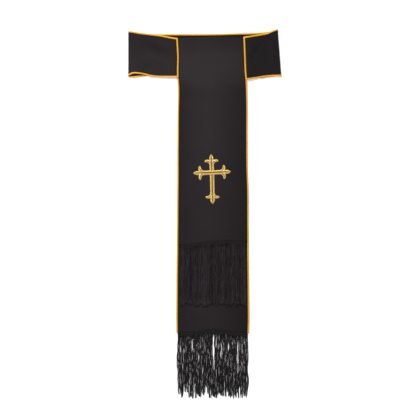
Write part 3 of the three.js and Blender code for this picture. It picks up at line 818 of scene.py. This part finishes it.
def textile(name, colour, darker, lighter, deep, pattern, relief, shader):
    """A textile: a pattern group drives its colour between two tints, and its relief.

    The tints are the colour times darker and times lighter; for wound thread they are painted shade and
    painted highlight, and for twill a random mottle. The piece's own tone, 0 to 1 or a little more,
    carries painted shade and light as well as the thing's own tone. It fades them from deep, the colour of
    painted shade in a fold or groove. pattern is the group's name, its maker and its values, and shader
    holds the plain shader values.
    """
    if name in bpy.data.materials:
        return bpy.data.materials[name]
    material, tree, surface = new_material(name)
    group_name, make, values = pattern
    weave = tree.nodes.new("ShaderNodeGroup")
    weave.node_tree = bpy.data.node_groups.get(group_name) or make()
    set_inputs(weave, values)
    own = tree.nodes.new("ShaderNodeAttribute")
    own.attribute_name = "tone"
    dark, light = [(*np.minimum(np.array(colour) * factor, 1).tolist(), 1)
                   for factor in (darker, lighter)]
    tint = add_mix(tree, weave.outputs["Tone"], dark, light)
    faded = add_mix(tree, own.outputs["Fac"], deep, tint, clamped=False)
    bump = add_node(tree, "ShaderNodeBump", Height=weave.outputs["Height"], Strength=1.0, Distance=relief)
    tree.links.new(faded, surface.inputs["Base Color"])
    tree.links.new(bump.outputs["Normal"], surface.inputs["Normal"])
    set_inputs(surface, shader)
    return material


def cloth_material(settings):
    """Black twill for the waistband and the falls."""
    shader = {"Roughness": 0.8, "Sheen Weight": 0.02, "Sheen Roughness": 0.5,
              "Specular IOR Level": 0.12}
    pattern = ("Twill weave", twill_group, {"Pitch": settings.twill_pitch})
    return textile("black twill", settings.colour, 0.82, 1.2, BLACK, pattern, 0.12 * MM, shader)


def piping_material(settings):
    """Gold satin cut on the bias round a cord. Its deeper and paler tints on the wound ridges are painted
    shade and painted highlight.
    """
    shader = {"Roughness": 0.34, "Specular IOR Level": 0.4}
    pattern = ("Wound thread", twist_group, {"Pitch": 1.1 * MM, "Strands": 6.0})
    return textile("gold satin", settings.colour, (0.86, 0.78, 0.62), (1.12, 1.16, 1.25),
                   srgb(150, 84, 12), pattern, 0.05 * MM, shader)


def yarn_material(name, settings, roughness):
    """Black rayon yarn of two strands twisted together, hanging free or woven in a braid. Its dark and
    light tints on the twist are painted shade and painted highlight.
    """
    shader = {"Roughness": roughness, "Specular IOR Level": 0.16}
    pattern = ("Wound thread", twist_group, {"Pitch": 2.2 * MM, "Strands": 2.0})
    return textile(name, settings.colour, 0.55, 1.7, BLACK, pattern, 0.15 * MM, shader)


def thread_material(name, colour, deep, shader):
    """Embroidery or sewing thread, with a fine twist whose tints are painted shade and painted highlight.
    """
    pattern = ("Wound thread", twist_group, {"Pitch": 0.7 * MM, "Strands": 2.0})
    return textile(name, colour, (0.9, 0.85, 0.78), (1.08, 1.1, 1.16), deep, pattern, 0.012 * MM, shader)


# Settings

LENGTH = dict(subtype="DISTANCE", unit="LENGTH", precision=5)
COLOUR = dict(subtype="COLOR", size=3, min=0, max=1)


class CinctureCloth(bpy.types.PropertyGroup):
    thickness: FloatProperty(
        name="Thickness", description="Thickness of the lined cloth as it shows at an edge",
        default=1.3 * MM, min=0.5 * MM, max=3 * MM, **LENGTH)
    twill_pitch: FloatProperty(
        name="Twill Pitch", description="Distance from one rib of the twill to the next",
        default=0.8 * MM, min=0.2 * MM, max=3 * MM, **LENGTH)
    colour: FloatVectorProperty(
        name="Colour", description="Colour of the cloth", default=srgb(40, 35, 37)[:3],
        **COLOUR)


class CincturePiping(bpy.types.PropertyGroup):
    width: FloatProperty(
        name="Width", description="How wide the piping lies",
        default=4.2 * MM, min=2 * MM, max=8 * MM, **LENGTH)
    colour: FloatVectorProperty(
        name="Colour", description="Colour of the satin", default=srgb(227, 163, 12)[:3],
        **COLOUR)


class CinctureStitches(bpy.types.PropertyGroup):
    length: FloatProperty(
        name="Length", description="Length of one edge stitch",
        default=2.6 * MM, min=1 * MM, max=6 * MM, **LENGTH)
    width: FloatProperty(
        name="Width", description="Width of the sewing thread",
        default=0.4 * MM, min=0.2 * MM, max=1 * MM, **LENGTH)
    gloss: FloatProperty(
        name="Roughness", description="Roughness of the sewing thread",
        default=0.7, min=0, max=1, subtype="FACTOR")
    colour: FloatVectorProperty(
        name="Colour", description="Colour of the sewing thread", default=srgb(28, 26, 27)[:3],
        **COLOUR)


class CinctureFringe(bpy.types.PropertyGroup):
    yarn: FloatProperty(
        name="Yarn", description="Thickness of one strand",
        default=1.0 * MM, min=0.4 * MM, max=3 * MM, **LENGTH)
    per_layer: IntProperty(
        name="Strands", description="Strands in one layer of the long fringe",
        default=146, min=20, max=200)
    layers: IntProperty(
        name="Layers", description="Layers of strands in each fringe", default=3, min=1, max=3)
    colour: FloatVectorProperty(
        name="Colour", description="Colour of the yarn", default=srgb(46, 41, 44)[:3],
        **COLOUR)


class CinctureCross(bpy.types.PropertyGroup):
    pitch: FloatProperty(
        name="Pitch", description="Distance from one satin stitch to the next",
        default=0.5 * MM, min=0.3 * MM, max=1.5 * MM, **LENGTH)
    gloss: FloatProperty(
        name="Roughness", description="Roughness of the gold thread",
        default=0.28, min=0, max=1, subtype="FACTOR")
    colour: FloatVectorProperty(
        name="Colour", description="Colour of the gold thread", default=srgb(232, 202, 120)[:3],
        **COLOUR)


class CinctureStage(bpy.types.PropertyGroup):
    view_width: FloatProperty(
        name="View Width", description="Width of table that the picture shows",
        default=1056.6 * MM, min=0.3, max=3, **LENGTH)
    camera_height: FloatProperty(
        name="Camera Height", description="Height of the camera over the table",
        default=3.0, min=1, max=8, **LENGTH)
    key_power: FloatProperty(
        name="Key Light", description="Power of the main soft light",
        default=86.0, min=0, max=500, subtype="POWER", unit="POWER")
    fill: FloatProperty(
        name="Fill Light", description="Strength of the even light from all round",
        default=0.2, min=0, max=3)


class CinctureSettings(bpy.types.PropertyGroup):
    cloth: PointerProperty(type=CinctureCloth)
    piping: PointerProperty(type=CincturePiping)
    stitches: PointerProperty(type=CinctureStitches)
    fringe: PointerProperty(type=CinctureFringe)
    cross: PointerProperty(type=CinctureCross)
    stage: PointerProperty(type=CinctureStage)


# Pieces

# Each fall's top edge, hem, height and creases
FALL_SHAPES = {
    "long_fall": (long_top, long_hem, long_height, LONG_FALL_CREASES),
    "short_fall": (short_top, short_hem, short_height, FALL_CREASES),
}


class CINCTURE_OT_waistband(bpy.types.Operator):
    """Makes the waistband's cloth, one strip folded at both sides"""

    bl_idname = "cincture.waistband"
    bl_label = "Waistband"

    def execute(self, context):
        settings = context.scene.cincture.cloth
        edge = 4 * TUCK / BAND_DEPTH
        near = (TUCK + np.array([0, 0.1, 0.3, 0.7, 1.5]) * MM) / BAND_DEPTH
        shares = np.concatenate([near, np.linspace(edge, 1 - edge, CLOTH_SHARES), 1 - near[::-1]])
        grid, along, _ = band_surface(shares)
        keep = (along > TUCK) & (along < along[-1] - TUCK)
        grid, along = grid[keep], along[keep]
        uv = np.stack(np.broadcast_arrays(along[:, None], shares * BAND_DEPTH), axis=-1)
        vertices, faces, face_uv = shell(grid, uv, settings.thickness)
        make_piece("waistband_cloth", vertices, faces, face_uv, band_tone_with_painted_shade(*vertices.T),
                   cloth_material(settings), ["waistband"])
        return {"FINISHED"}


class CINCTURE_OT_falls(bpy.types.Operator):
    """Makes the cloth of the long fall and of the short fall on top of it"""

    bl_idname = "cincture.falls"
    bl_label = "Falls"

    def execute(self, context):
        settings = context.scene.cincture.cloth
        material = cloth_material(settings)
        for node, shape in FALL_SHAPES.items():
            grid, uv = fall_surface(*shape, TUCK)
            vertices, faces, face_uv = shell(grid, uv, settings.thickness)
            x, y, _ = vertices.T
            tone = fall_tone_with_painted_light(x, y, shape[1]) - crease_painted_shade(shape[3], x, y)
            make_piece(f"{node}_cloth", vertices, faces, face_uv, tone,
                       material, [node])
        return {"FINISHED"}


def piping_path(side):
    """Path of the piping round half of the waistband, and which way is up along it.

    It runs from the middle of the back's top edge round the end to the middle of its bottom edge.
    Points close to a corner are left out, so that it is one mitre.
    """
    grid, _, middle = band_surface(np.linspace(0, 1, PIPING_SHARES), BAND_FINE_STEP)
    both = np.concatenate([grid, surface_normals(grid)], axis=-1)
    both = both[middle::-1] if side == "left" else both[middle:]
    path = np.concatenate([both[:, -1], both[-1, -2:0:-1], both[::-1, 0]])
    corners = (both[-1, -1, :3], both[-1, 0, :3])
    gaps = np.minimum.reduce([np.linalg.norm(path[:, :3] - corner, axis=1) for corner in corners])
    path = path[(gaps == 0) | (gaps > 2 * BAND_FINE_STEP)]
    path[[0, -1], 0] = MIDDLE_X
    return path[None, :, :3], path[None, :, 3:]


def fall_piping_path(side):
    """Path of the piping down one side of both falls, on their edge smoothed by a moving mean."""
    start = short_top(fall_edge(short_top(0.0), side))
    stop = long_hem(fall_edge(FALL_FOOT, side))
    y = np.append(np.arange(start, stop, -BAND_FINE_STEP), stop)
    fine = np.linspace(FALL_EDGES["y"][0], FALL_EDGES["y"][-1], 400)
    reach = 9
    window = 2 * reach + 1
    edge = fall_edge(np.pad(fine, reach, mode="edge"), side)
    x = np.interp(y, fine, np.convolve(edge, np.ones(window) / window, "valid"))
    z = fall_base(fall_edge(y, side), y) + FALL_PIPING_HEIGHT / 2
    return np.stack([x, y, z], axis=-1)[None], UP


class CINCTURE_OT_piping(bpy.types.Operator):
    """Makes the four lengths of corded piping"""

    bl_idname = "cincture.piping"
    bl_label = "Piping"

    def execute(self, context):
        settings = context.scene.cincture.piping
        material = piping_material(settings)
        for side in ("left", "right"):
            lengths = {
                f"waistband_piping_{side}": (piping_path(side), BAND_PIPING_HEIGHT),
                f"fall_piping_{side}": (fall_piping_path(side), FALL_PIPING_HEIGHT),
            }
            for node, ((path, ups), height) in lengths.items():
                travelled = distances(path)
                pucker = 1 + 0.025 * np.sin(travelled / (1.1 * MM) + 2 * np.sin(travelled / (9 * MM)))
                tone = 1 + 0.06 * np.sin(travelled / (17 * MM))
                make_tubes(f"{node}_satin", path, ups, settings.width * pucker, height * pucker,
                           CORD_SIDES, tone, material, [node])
        return {"FINISHED"}


def sewn_line(points, normals, settings):
    """Stitches along a line on a surface, each a short tube that dips into the cloth at its ends."""
    travelled = distances(points)
    starts = np.arange(0, travelled[-1] - settings.length, settings.length * STITCH_PITCH)
    share = np.linspace(0, 1, STITCH_STEPS)
    at = starts[:, None] + settings.length * share
    up = points_at(normals, travelled, at)
    rise = settings.width * (np.sin(np.pi * share) - STITCH_DIP)
    return points_at(points, travelled, at) + up * rise[:, None], up


class CINCTURE_OT_stitching(bpy.types.Operator):
    """Sews a row of edge stitches beside every length of piping and along both hems"""

    bl_idname = "cincture.stitching"
    bl_label = "Stitching"

    def execute(self, context):
        scene = context.scene.cincture
        settings, half = scene.stitches, scene.cloth.thickness / 2
        shares = np.linspace(0, 1, STITCHING_SHARES)
        grid, along, _ = band_surface(shares, BAND_FINE_STEP)
        normals = surface_normals(grid)
        near = STITCH_INSET / BAND_DEPTH
        low, high = np.searchsorted(shares, [near, 1 - near])
        first, last = np.searchsorted(along, [STITCH_INSET, along[-1] - STITCH_INSET])
        lines = [(grid[first:last, row], normals[first:last, row]) for row in (low, high)]
        lines += [(grid[end, low:high], normals[end, low:high]) for end in (first, last)]
        inner = slice(END_ROWS, -END_ROWS)
        for shape in FALL_SHAPES.values():
            fall, _ = fall_surface(*shape, STITCH_INSET)
            up = surface_normals(fall)
            lines += [(fall[inner, edge], up[inner, edge]) for edge in (0, -1)]
            lines.append((fall[-END_ROWS - 1], up[-END_ROWS - 1]))
        sewn = [sewn_line(points + normal * half, normal, settings) for points, normal in lines]
        paths, ups = [np.concatenate(parts) for parts in zip(*sewn)]
        shader = {"Roughness": settings.gloss, "Specular IOR Level": 0.1}
        material = thread_material("black sewing thread", settings.colour, BLACK, shader)
        make_tubes("edge_stitching", paths, ups, settings.width, settings.width, THREAD_SIDES, 1.0,
                   material)
        return {"FINISHED"}


def on_long_fall(x, y):
    """Height of the top of the long fall."""
    return long_height(x, y) + FALL_WALL / 2


def on_table(x, y):
    """Height of the table."""
    return np.zeros(np.broadcast(x, y).shape)


# The fringes: their sides, the y of their highest and lowest tips and the y that none passes, how
# far strands stray past a side, how much darker they get on their way down, whether they part and
# lean, the hem that they hang from, what they lie on, and the seed of their random numbers
FRINGES = {
    "long_fringe": dict(
        left=-68.4 * MM, right=109.2 * MM, high=-449 * MM, low=-469.6 * MM, end=-470 * MM,
        stray=5 * MM, shade=0.4, parts=True, hem=long_hem, ground=on_table, seed=11),
    "short_fringe": dict(
        left=-62.5 * MM, right=104 * MM, high=-226 * MM, low=-237 * MM, end=-238 * MM,
        stray=1.5 * MM, shade=0.0, parts=False, hem=short_hem, ground=on_long_fall, seed=23),
}


def sway(x, below, layer):
    """How far strands hang from straight: three slow waves that grow over the first 60 mm."""
    loose = np.minimum(below / (60 * MM), 1)
    phase = 2.1 * layer
    wide = 0.8 * np.sin(x / (9.5 * MM) + below / (31 * MM) + phase)
    long = 1.0 * np.sin(x / (23 * MM) - below / (52 * MM) + 2.6 * phase)
    close = 0.35 * np.sin(x / (3.1 * MM) + below / (17 * MM) + phase)
    return loose * (wide + long + close) * MM


def parted(x, below):
    """How far the partings push strands aside: half a gap, fading with distance from it."""
    total = np.zeros(np.broadcast(x, below).shape)
    for middle, start, stop, half in zip(*PARTINGS.values()):
        opened = ramp(below - start, 0, PARTING_RUN) * ramp(stop - below, 0, PARTING_RUN)
        aside = x - middle
        total += half * opened * np.sign(aside) * np.exp(-np.abs(aside) / PARTING_REACH)
    return total


def leaned(fringe, root, below):
    """How far strands by the fringe's sides lean outwards: a bell curve down each side."""
    total = np.zeros(np.broadcast(root, below).shape)
    for edge, (outward, depth, half) in LEANS.items():
        near = ease(1 - np.abs(root - fringe[edge]) / LEAN_REACH)
        total += outward * MM * near * np.exp(-(((below / MM - depth) / half) ** 2))
    return total


def locks(fringe, root, random):
    """The lock that each strand is in, and the middle of that lock."""
    width = fringe["right"] - fringe["left"]
    count = round(width / LOCK_WIDTH)
    inner = (np.arange(1, count) + random.uniform(-0.4, 0.4, count - 1)) / count
    bounds = fringe["left"] + width * np.concatenate([[-0.01], inner, [1.01]])
    lock = np.searchsorted(bounds, root[:, 0]) - 1
    return lock, ((bounds[:-1] + bounds[1:]) / 2)[lock][:, None]


def gathered(lock, inward, hung, share, random):
    """How far strands leave their places to gather in locks.

    A strand moves inwards by a share that swells and shrinks down the lock, and grows again near
    its tips. Each lock wanders as the sum of two sines.
    """
    count = lock.max() + 1
    pull = random.uniform(0.1, 0.46, count)[lock][:, None]
    phase = random.uniform(0, 2 * np.pi, count)[lock][:, None]
    swell = pull * ramp(hung, 0, 24) * (0.5 + 0.5 * np.cos(hung / (17 * MM) + phase))
    swell = swell * (1 - 0.6 * ramp(hung, 80, 40))
    tips = random.uniform(0.3, 0.75, count)[lock][:, None] * ease((share - 0.78) / 0.22)
    wander = np.zeros(hung.shape)
    for size, length in LOCK_WAVES:
        phase = random.uniform(0, 2 * np.pi, count)[lock][:, None]
        stretch = random.uniform(0.8, 1.25, count)[lock][:, None] * length * MM
        wander += size * MM * np.sin(2 * np.pi * hung / stretch + phase)
    return inward * (swell + tips) + wander * np.minimum(hung / (45 * MM), 1)


def strand_tips(fringe, lock, random):
    """The y of each strand's tip, most of it the lock's and the rest its own. A few end early."""
    one_each = (len(lock), 1)
    reach = LOCK_SHARE * random.random(lock.max() + 1)[lock][:, None]
    reach = reach + (1 - LOCK_SHARE) * random.random(one_each)
    tip = fringe["high"] + (fringe["low"] - fringe["high"]) * reach
    early = random.random(one_each) < EARLY_STRANDS
    tip = tip + early * random.uniform(*EARLY_BY, one_each) * MM
    return np.maximum(tip, fringe["end"])


def strand_waves(hung, loose, random):
    """How far each strand moves by itself: two sines, where it is loose, and a drift to one side."""
    one_each = (len(hung), 1)
    own = np.zeros(hung.shape)
    for size, length in STRAND_WAVES:
        phase = random.uniform(0, 2 * np.pi, one_each)
        own += random.normal(0, size, one_each) * np.sin(2 * np.pi * hung / (length * MM) + phase)
    drift = random.normal(0, 0.6, one_each) * (hung / (150 * MM)) ** 1.5
    return (own * loose + drift) * MM


def fringe_strands(fringe, settings, per_layer):
    """Paths of a fringe's strands, (strand, step, xyz), from inside its header to their tips."""
    random = np.random.default_rng(fringe["seed"])
    width = fringe["right"] - fringe["left"]
    count = per_layer * settings.layers
    layer = np.repeat(np.arange(settings.layers), per_layer)[:, None]
    place = np.tile(np.arange(per_layer), settings.layers)[:, None]
    spread = place + 0.25 + layer / settings.layers + random.uniform(-0.3, 0.3, (count, 1))
    root = fringe["left"] + width * np.clip(spread / per_layer, 0, 1)
    lock, middle = locks(fringe, root, random)
    tip = strand_tips(fringe, lock, random)
    share = np.linspace(0, 1, STRAND_STEPS)
    top = fringe["hem"](root) - SEAM_GAP - HEADER_DEPTH
    below = (top - tip) * share - 0.5 * HEADER_DEPTH * (1 - share)
    hung = np.maximum(below, 0)
    loose = np.minimum(hung / (14 * MM), 1) * (1 - 0.6 * ramp(hung, 80, 40))
    x = root + strand_waves(hung, loose, random) + sway(root, hung, 0.35 * layer)
    x = x + gathered(lock, middle - root, hung, share, random)
    if fringe["parts"]:
        narrowing = 4 * MM * (root - MIDDLE_X) / width * hung / (150 * MM)
        x = x + parted(root, hung) + leaned(fringe, root, hung) - narrowing
    x = np.clip(x, fringe["left"] - fringe["stray"], fringe["right"] + fringe["stray"])
    y = top - below
    settled = 1 - 0.8 * ease((share - 0.7) / 0.3)
    lift = (LAYER_BASE + LAYER_RISE * layer * settled) * settings.yarn
    rise = 0.35 * MM * loose * random.random((count, 1))
    z = fringe["ground"](x, y) + 0.12 * MM + lift + rise
    return np.stack([x, y, z], axis=-1)


def strand_tones_with_painted_shadow(fringe, paths):
    """How light each strand is: its own random tone, painted shadow of the hem along a ragged line just
    under it, and darker on its way down.
    """
    random = np.random.default_rng(fringe["seed"])
    hung = fringe["hem"](paths[..., 0]) - HEADER_DEPTH - paths[..., 1]
    start = random.uniform(-11, 4, (len(paths), 1)) * MM
    own = random.uniform(0.45, 1.5, (len(paths), 1))
    lower = 1 - fringe["shade"] * (0.5 + 0.5 * ramp(hung, 0, 130))
    return own * lower * (0.3 + 0.7 * ramp(hung - start, 0, 12))


def header_path(fringe):
    """The line along the middle of a fringe's woven header, which laps a little over the hem."""
    x = np.linspace(fringe["left"] - 0.2 * MM, fringe["right"] + 0.2 * MM, 1000)
    y = fringe["hem"](x) - 0.5 * HEADER_DEPTH + HEADER_OVERLAP
    z = fringe["ground"](x, y) + 0.2 * MM + HEADER_THICK / 2
    return np.stack([x, y, z], axis=-1)[None]


class CINCTURE_OT_fringes(bpy.types.Operator):
    """Makes both fringes, each with a woven header and layers of twisted yarn"""

    bl_idname = "cincture.fringes"
    bl_label = "Fringes"

    def execute(self, context):
        settings = context.scene.cincture.fringe
        material = yarn_material("black yarn", settings, 0.3)
        braid = yarn_material("black braid", settings, 0.75)
        full = FRINGES["long_fringe"]["right"] - FRINGES["long_fringe"]["left"]
        across = np.full(STRAND_STEPS, settings.yarn)
        across[-1] = 0.5 * settings.yarn
        for node, fringe in FRINGES.items():
            count = round(settings.per_layer * (fringe["right"] - fringe["left"]) / full)
            paths = fringe_strands(fringe, settings, count)
            make_tubes(f"{node}_yarn", paths, UP, across, 0.86 * across, THREAD_SIDES,
                       strand_tones_with_painted_shadow(fringe, paths), material, [node])
            line = header_path(fringe)
            wraps = 1 + 0.08 * np.cos(distances(line) * 2 * np.pi / HEADER_WRAP)
            make_tubes(f"{node}_header", line, UP, HEADER_DEPTH * wraps, HEADER_THICK * wraps,
                       HEADER_SIDES, HEADER_TONE_WITH_PAINTED_SHADE, braid)
        return {"FINISHED"}


def column_stitches(column, pitch):
    """Starts and ends of a column's satin stitches, spread evenly along its spine and its edge."""
    lines = [np.stack([line["out"], line["back"]], axis=-1) for line in column]
    travelled = [distances(line) for line in lines]
    longest = max(lengths[-1] for lengths in travelled)
    share = np.linspace(0, 1, max(int(np.ceil(longest / pitch)), 3))
    return [points_at(line, lengths, share * lengths[-1]) for line, lengths in zip(lines, travelled)]


def cross_stitches(pitch):
    """Starts and ends of all the cross's satin stitches, (stitch, xy), about its crossing."""
    starts, ends = [], []
    for name, (length, degrees, breadth) in ARMS.items():
        root = -SATIN_SLANT if name in SIDE_ARMS else UPRIGHT_ROOT
        bar = (
            table("out back", [(0, length - root), (0, BAR_END - BAR_LAP)]),
            table("out back", [(HALF_BAR, length - root - SATIN_SLANT),
                               (HALF_BAR, BAR_END - SATIN_SLANT)]),
        )
        spine, edge = MIDDLE_PETAL
        middle = (spine, dict(edge, out=edge["out"] * breadth))
        angle = np.radians(degrees)
        across = np.array([np.cos(angle), np.sin(angle)])
        outward = np.array([-np.sin(angle), np.cos(angle)])
        for column in (bar, middle, SIDE_PETAL_FRONT, SIDE_PETAL_BACK):
            stitches = column_stitches(column, pitch)
            for mirror in (1, -1):
                for found, points in zip((starts, ends), stitches):
                    out = mirror * points[:, :1] * across
                    found.append(out + (length * MM - points[:, 1:]) * outward)
    return np.concatenate(starts), np.concatenate(ends)


class CINCTURE_OT_cross(bpy.types.Operator):
    """Embroiders the cross in columns of raised satin stitch"""

    bl_idname = "cincture.cross"
    bl_label = "Cross"

    def execute(self, context):
        settings = context.scene.cincture.cross
        starts, ends = [points + CROSS_PLACE for points in cross_stitches(settings.pitch)]
        share = SATIN_SHARES
        flat = starts[:, None] + (ends - starts)[:, None] * share[:, None]
        cloth = short_height(*CROSS_PLACE) + context.scene.cincture.cloth.thickness / 2
        reach = np.linalg.norm(ends - starts, axis=1)[:, None]
        crown = np.minimum(SATIN_CROWN, 0.3 * reach) * np.sin(np.pi * share) ** 0.75
        z = cloth + 0.15 * MM + crown
        paths = np.concatenate([flat, z[..., None]], axis=-1)
        random = np.random.default_rng(5)
        # Painted shade: each stitch darkens towards the groove at its spine and a little by its rim; the
        # random spread is the thread's own tone.
        groove = ease((share - 0.06) / 0.54)
        rim = 1 - 0.15 * ease((share - 0.9) / 0.1)
        tone = random.uniform(0.88, 1.12, (len(paths), 1)) * groove * rim
        shader = {"Roughness": settings.gloss, "Specular IOR Level": 0.6, "Metallic": 0.25}
        # The brown is the colour of the painted shade in the groove.
        material = thread_material("gold thread", settings.colour, srgb(146, 96, 30), shader)
        make_tubes("cross_satin_stitch", paths, UP, settings.pitch * 1.25, settings.pitch * 0.8,
                   THREAD_SIDES, tone, material, ["embroidered_cross"])
        return {"FINISHED"}


class CINCTURE_OT_sheets(bpy.types.Operator):
    bl_idname = "cincture.sheets"
    bl_label = "Cloth Sizes"

    def execute(self, context):
        _, along, _ = band_surface(np.linspace(0, 1, 3))
        return {"FINISHED"}


def floor_material():
    """Smooth pale card, with a trace of unevenness in its roughness."""
    material, tree, surface = new_material("pale card")
    rough = add_math(tree, "MULTIPLY_ADD", add_noise(tree, 40, 2), 0.1, 0.8)
    tree.links.new(rough, surface.inputs["Roughness"])
    set_inputs(surface, {"Base Color": (0.93, 0.93, 0.93, 1), "Specular IOR Level": 0.2,
                         "Emission Color": WHITE, "Emission Strength": 0.36})
    return material


def soft_light(name, place, size, power):
    """A square light that faces the middle of the object."""
    light = bpy.data.lights.new(name, "AREA")
    light.size = size
    light.energy = power
    lamp = add_object(name, light)
    lamp.location = place
    x, y, z = np.array(place) - LIGHT_AIM
    lamp.rotation_euler = (0.0, np.arctan2(np.hypot(x, y), z), np.arctan2(y, x))


class CINCTURE_OT_stage(bpy.types.Operator):
    """Sets the pale table, the soft lights and the camera straight above"""

    bl_idname = "cincture.stage"
    bl_label = "Stage"

    def execute(self, context):
        scene = context.scene
        settings = scene.cincture.stage
        corners = [(x, y, FLOOR_Z) for x, y in np.array([(-1, -1), (1, -1), (1, 1), (-1, 1)]) * FLOOR_HALF]
        mesh = bpy.data.meshes.new("table")
        mesh.from_pydata(corners, [], [(0, 1, 2, 3)])
        mesh.materials.append(floor_material())
        add_object("table", mesh)
        for name, (place, size, share) in LIGHTS.items():
            soft_light(name, place, size, share * settings.key_power)
        scene.world = bpy.data.worlds.new("studio")
        scene.world.use_nodes = True
        background = scene.world.node_tree.nodes["Background"]
        set_inputs(background, {"Color": WHITE, "Strength": settings.fill})
        lens = bpy.data.cameras.new("camera")
        lens.lens = lens.sensor_width * settings.camera_height / settings.view_width
        scene.camera = add_object("camera", lens)
        scene.camera.location = (CAMERA_X, CAMERA_Y, settings.camera_height)
        scene.view_settings.view_transform = "Standard"
        return {"FINISHED"}


class CINCTURE_PT_panel(bpy.types.Panel):
    """Lists the cincture's settings and the steps that make it"""

    bl_idname = "CINCTURE_PT_panel"
    bl_label = "Cassock Cincture"
    bl_space_type = "VIEW_3D"
    bl_region_type = "UI"
    bl_category = "Cincture"

    def draw(self, context):
        settings = context.scene.cincture
        for title in ("cloth", "piping", "stitches", "fringe", "cross", "stage"):
            box = self.layout.box()
            box.label(text=title.capitalize())
            group = getattr(settings, title)
            for name in group.bl_rna.properties.keys():
                if name not in ("name", "rna_type"):
                    box.prop(group, name)
        for operator in OPERATORS:
            self.layout.operator(operator.bl_idname)


OPERATORS = (
    CINCTURE_OT_waistband,
    CINCTURE_OT_falls,
    CINCTURE_OT_piping,
    CINCTURE_OT_stitching,
    CINCTURE_OT_fringes,
    CINCTURE_OT_cross,
    CINCTURE_OT_sheets,
    CINCTURE_OT_stage,
)
CLASSES = (
    CinctureCloth,
    CincturePiping,
    CinctureStitches,
    CinctureFringe,
    CinctureCross,
    CinctureStage,
    CinctureSettings,
    *OPERATORS,
    CINCTURE_PT_panel,
)


def register():
    """Adds the classes, and the settings to every scene."""
    for cls in CLASSES:
        bpy.utils.register_class(cls)
    bpy.types.Scene.cincture = PointerProperty(type=CinctureSettings)


def unregister():
    """Takes away what register added."""
    del bpy.types.Scene.cincture
    for cls in reversed(CLASSES):
        bpy.utils.unregister_class(cls)


def main():
    """Makes every piece and the stage."""
    register()
    bpy.ops.cincture.waistband()
    bpy.ops.cincture.falls()
    bpy.ops.cincture.piping()
    bpy.ops.cincture.stitching()
    bpy.ops.cincture.fringes()
    bpy.ops.cincture.cross()
    bpy.ops.cincture.sheets()
    bpy.ops.cincture.stage()


if __name__ == "__main__":
    main()
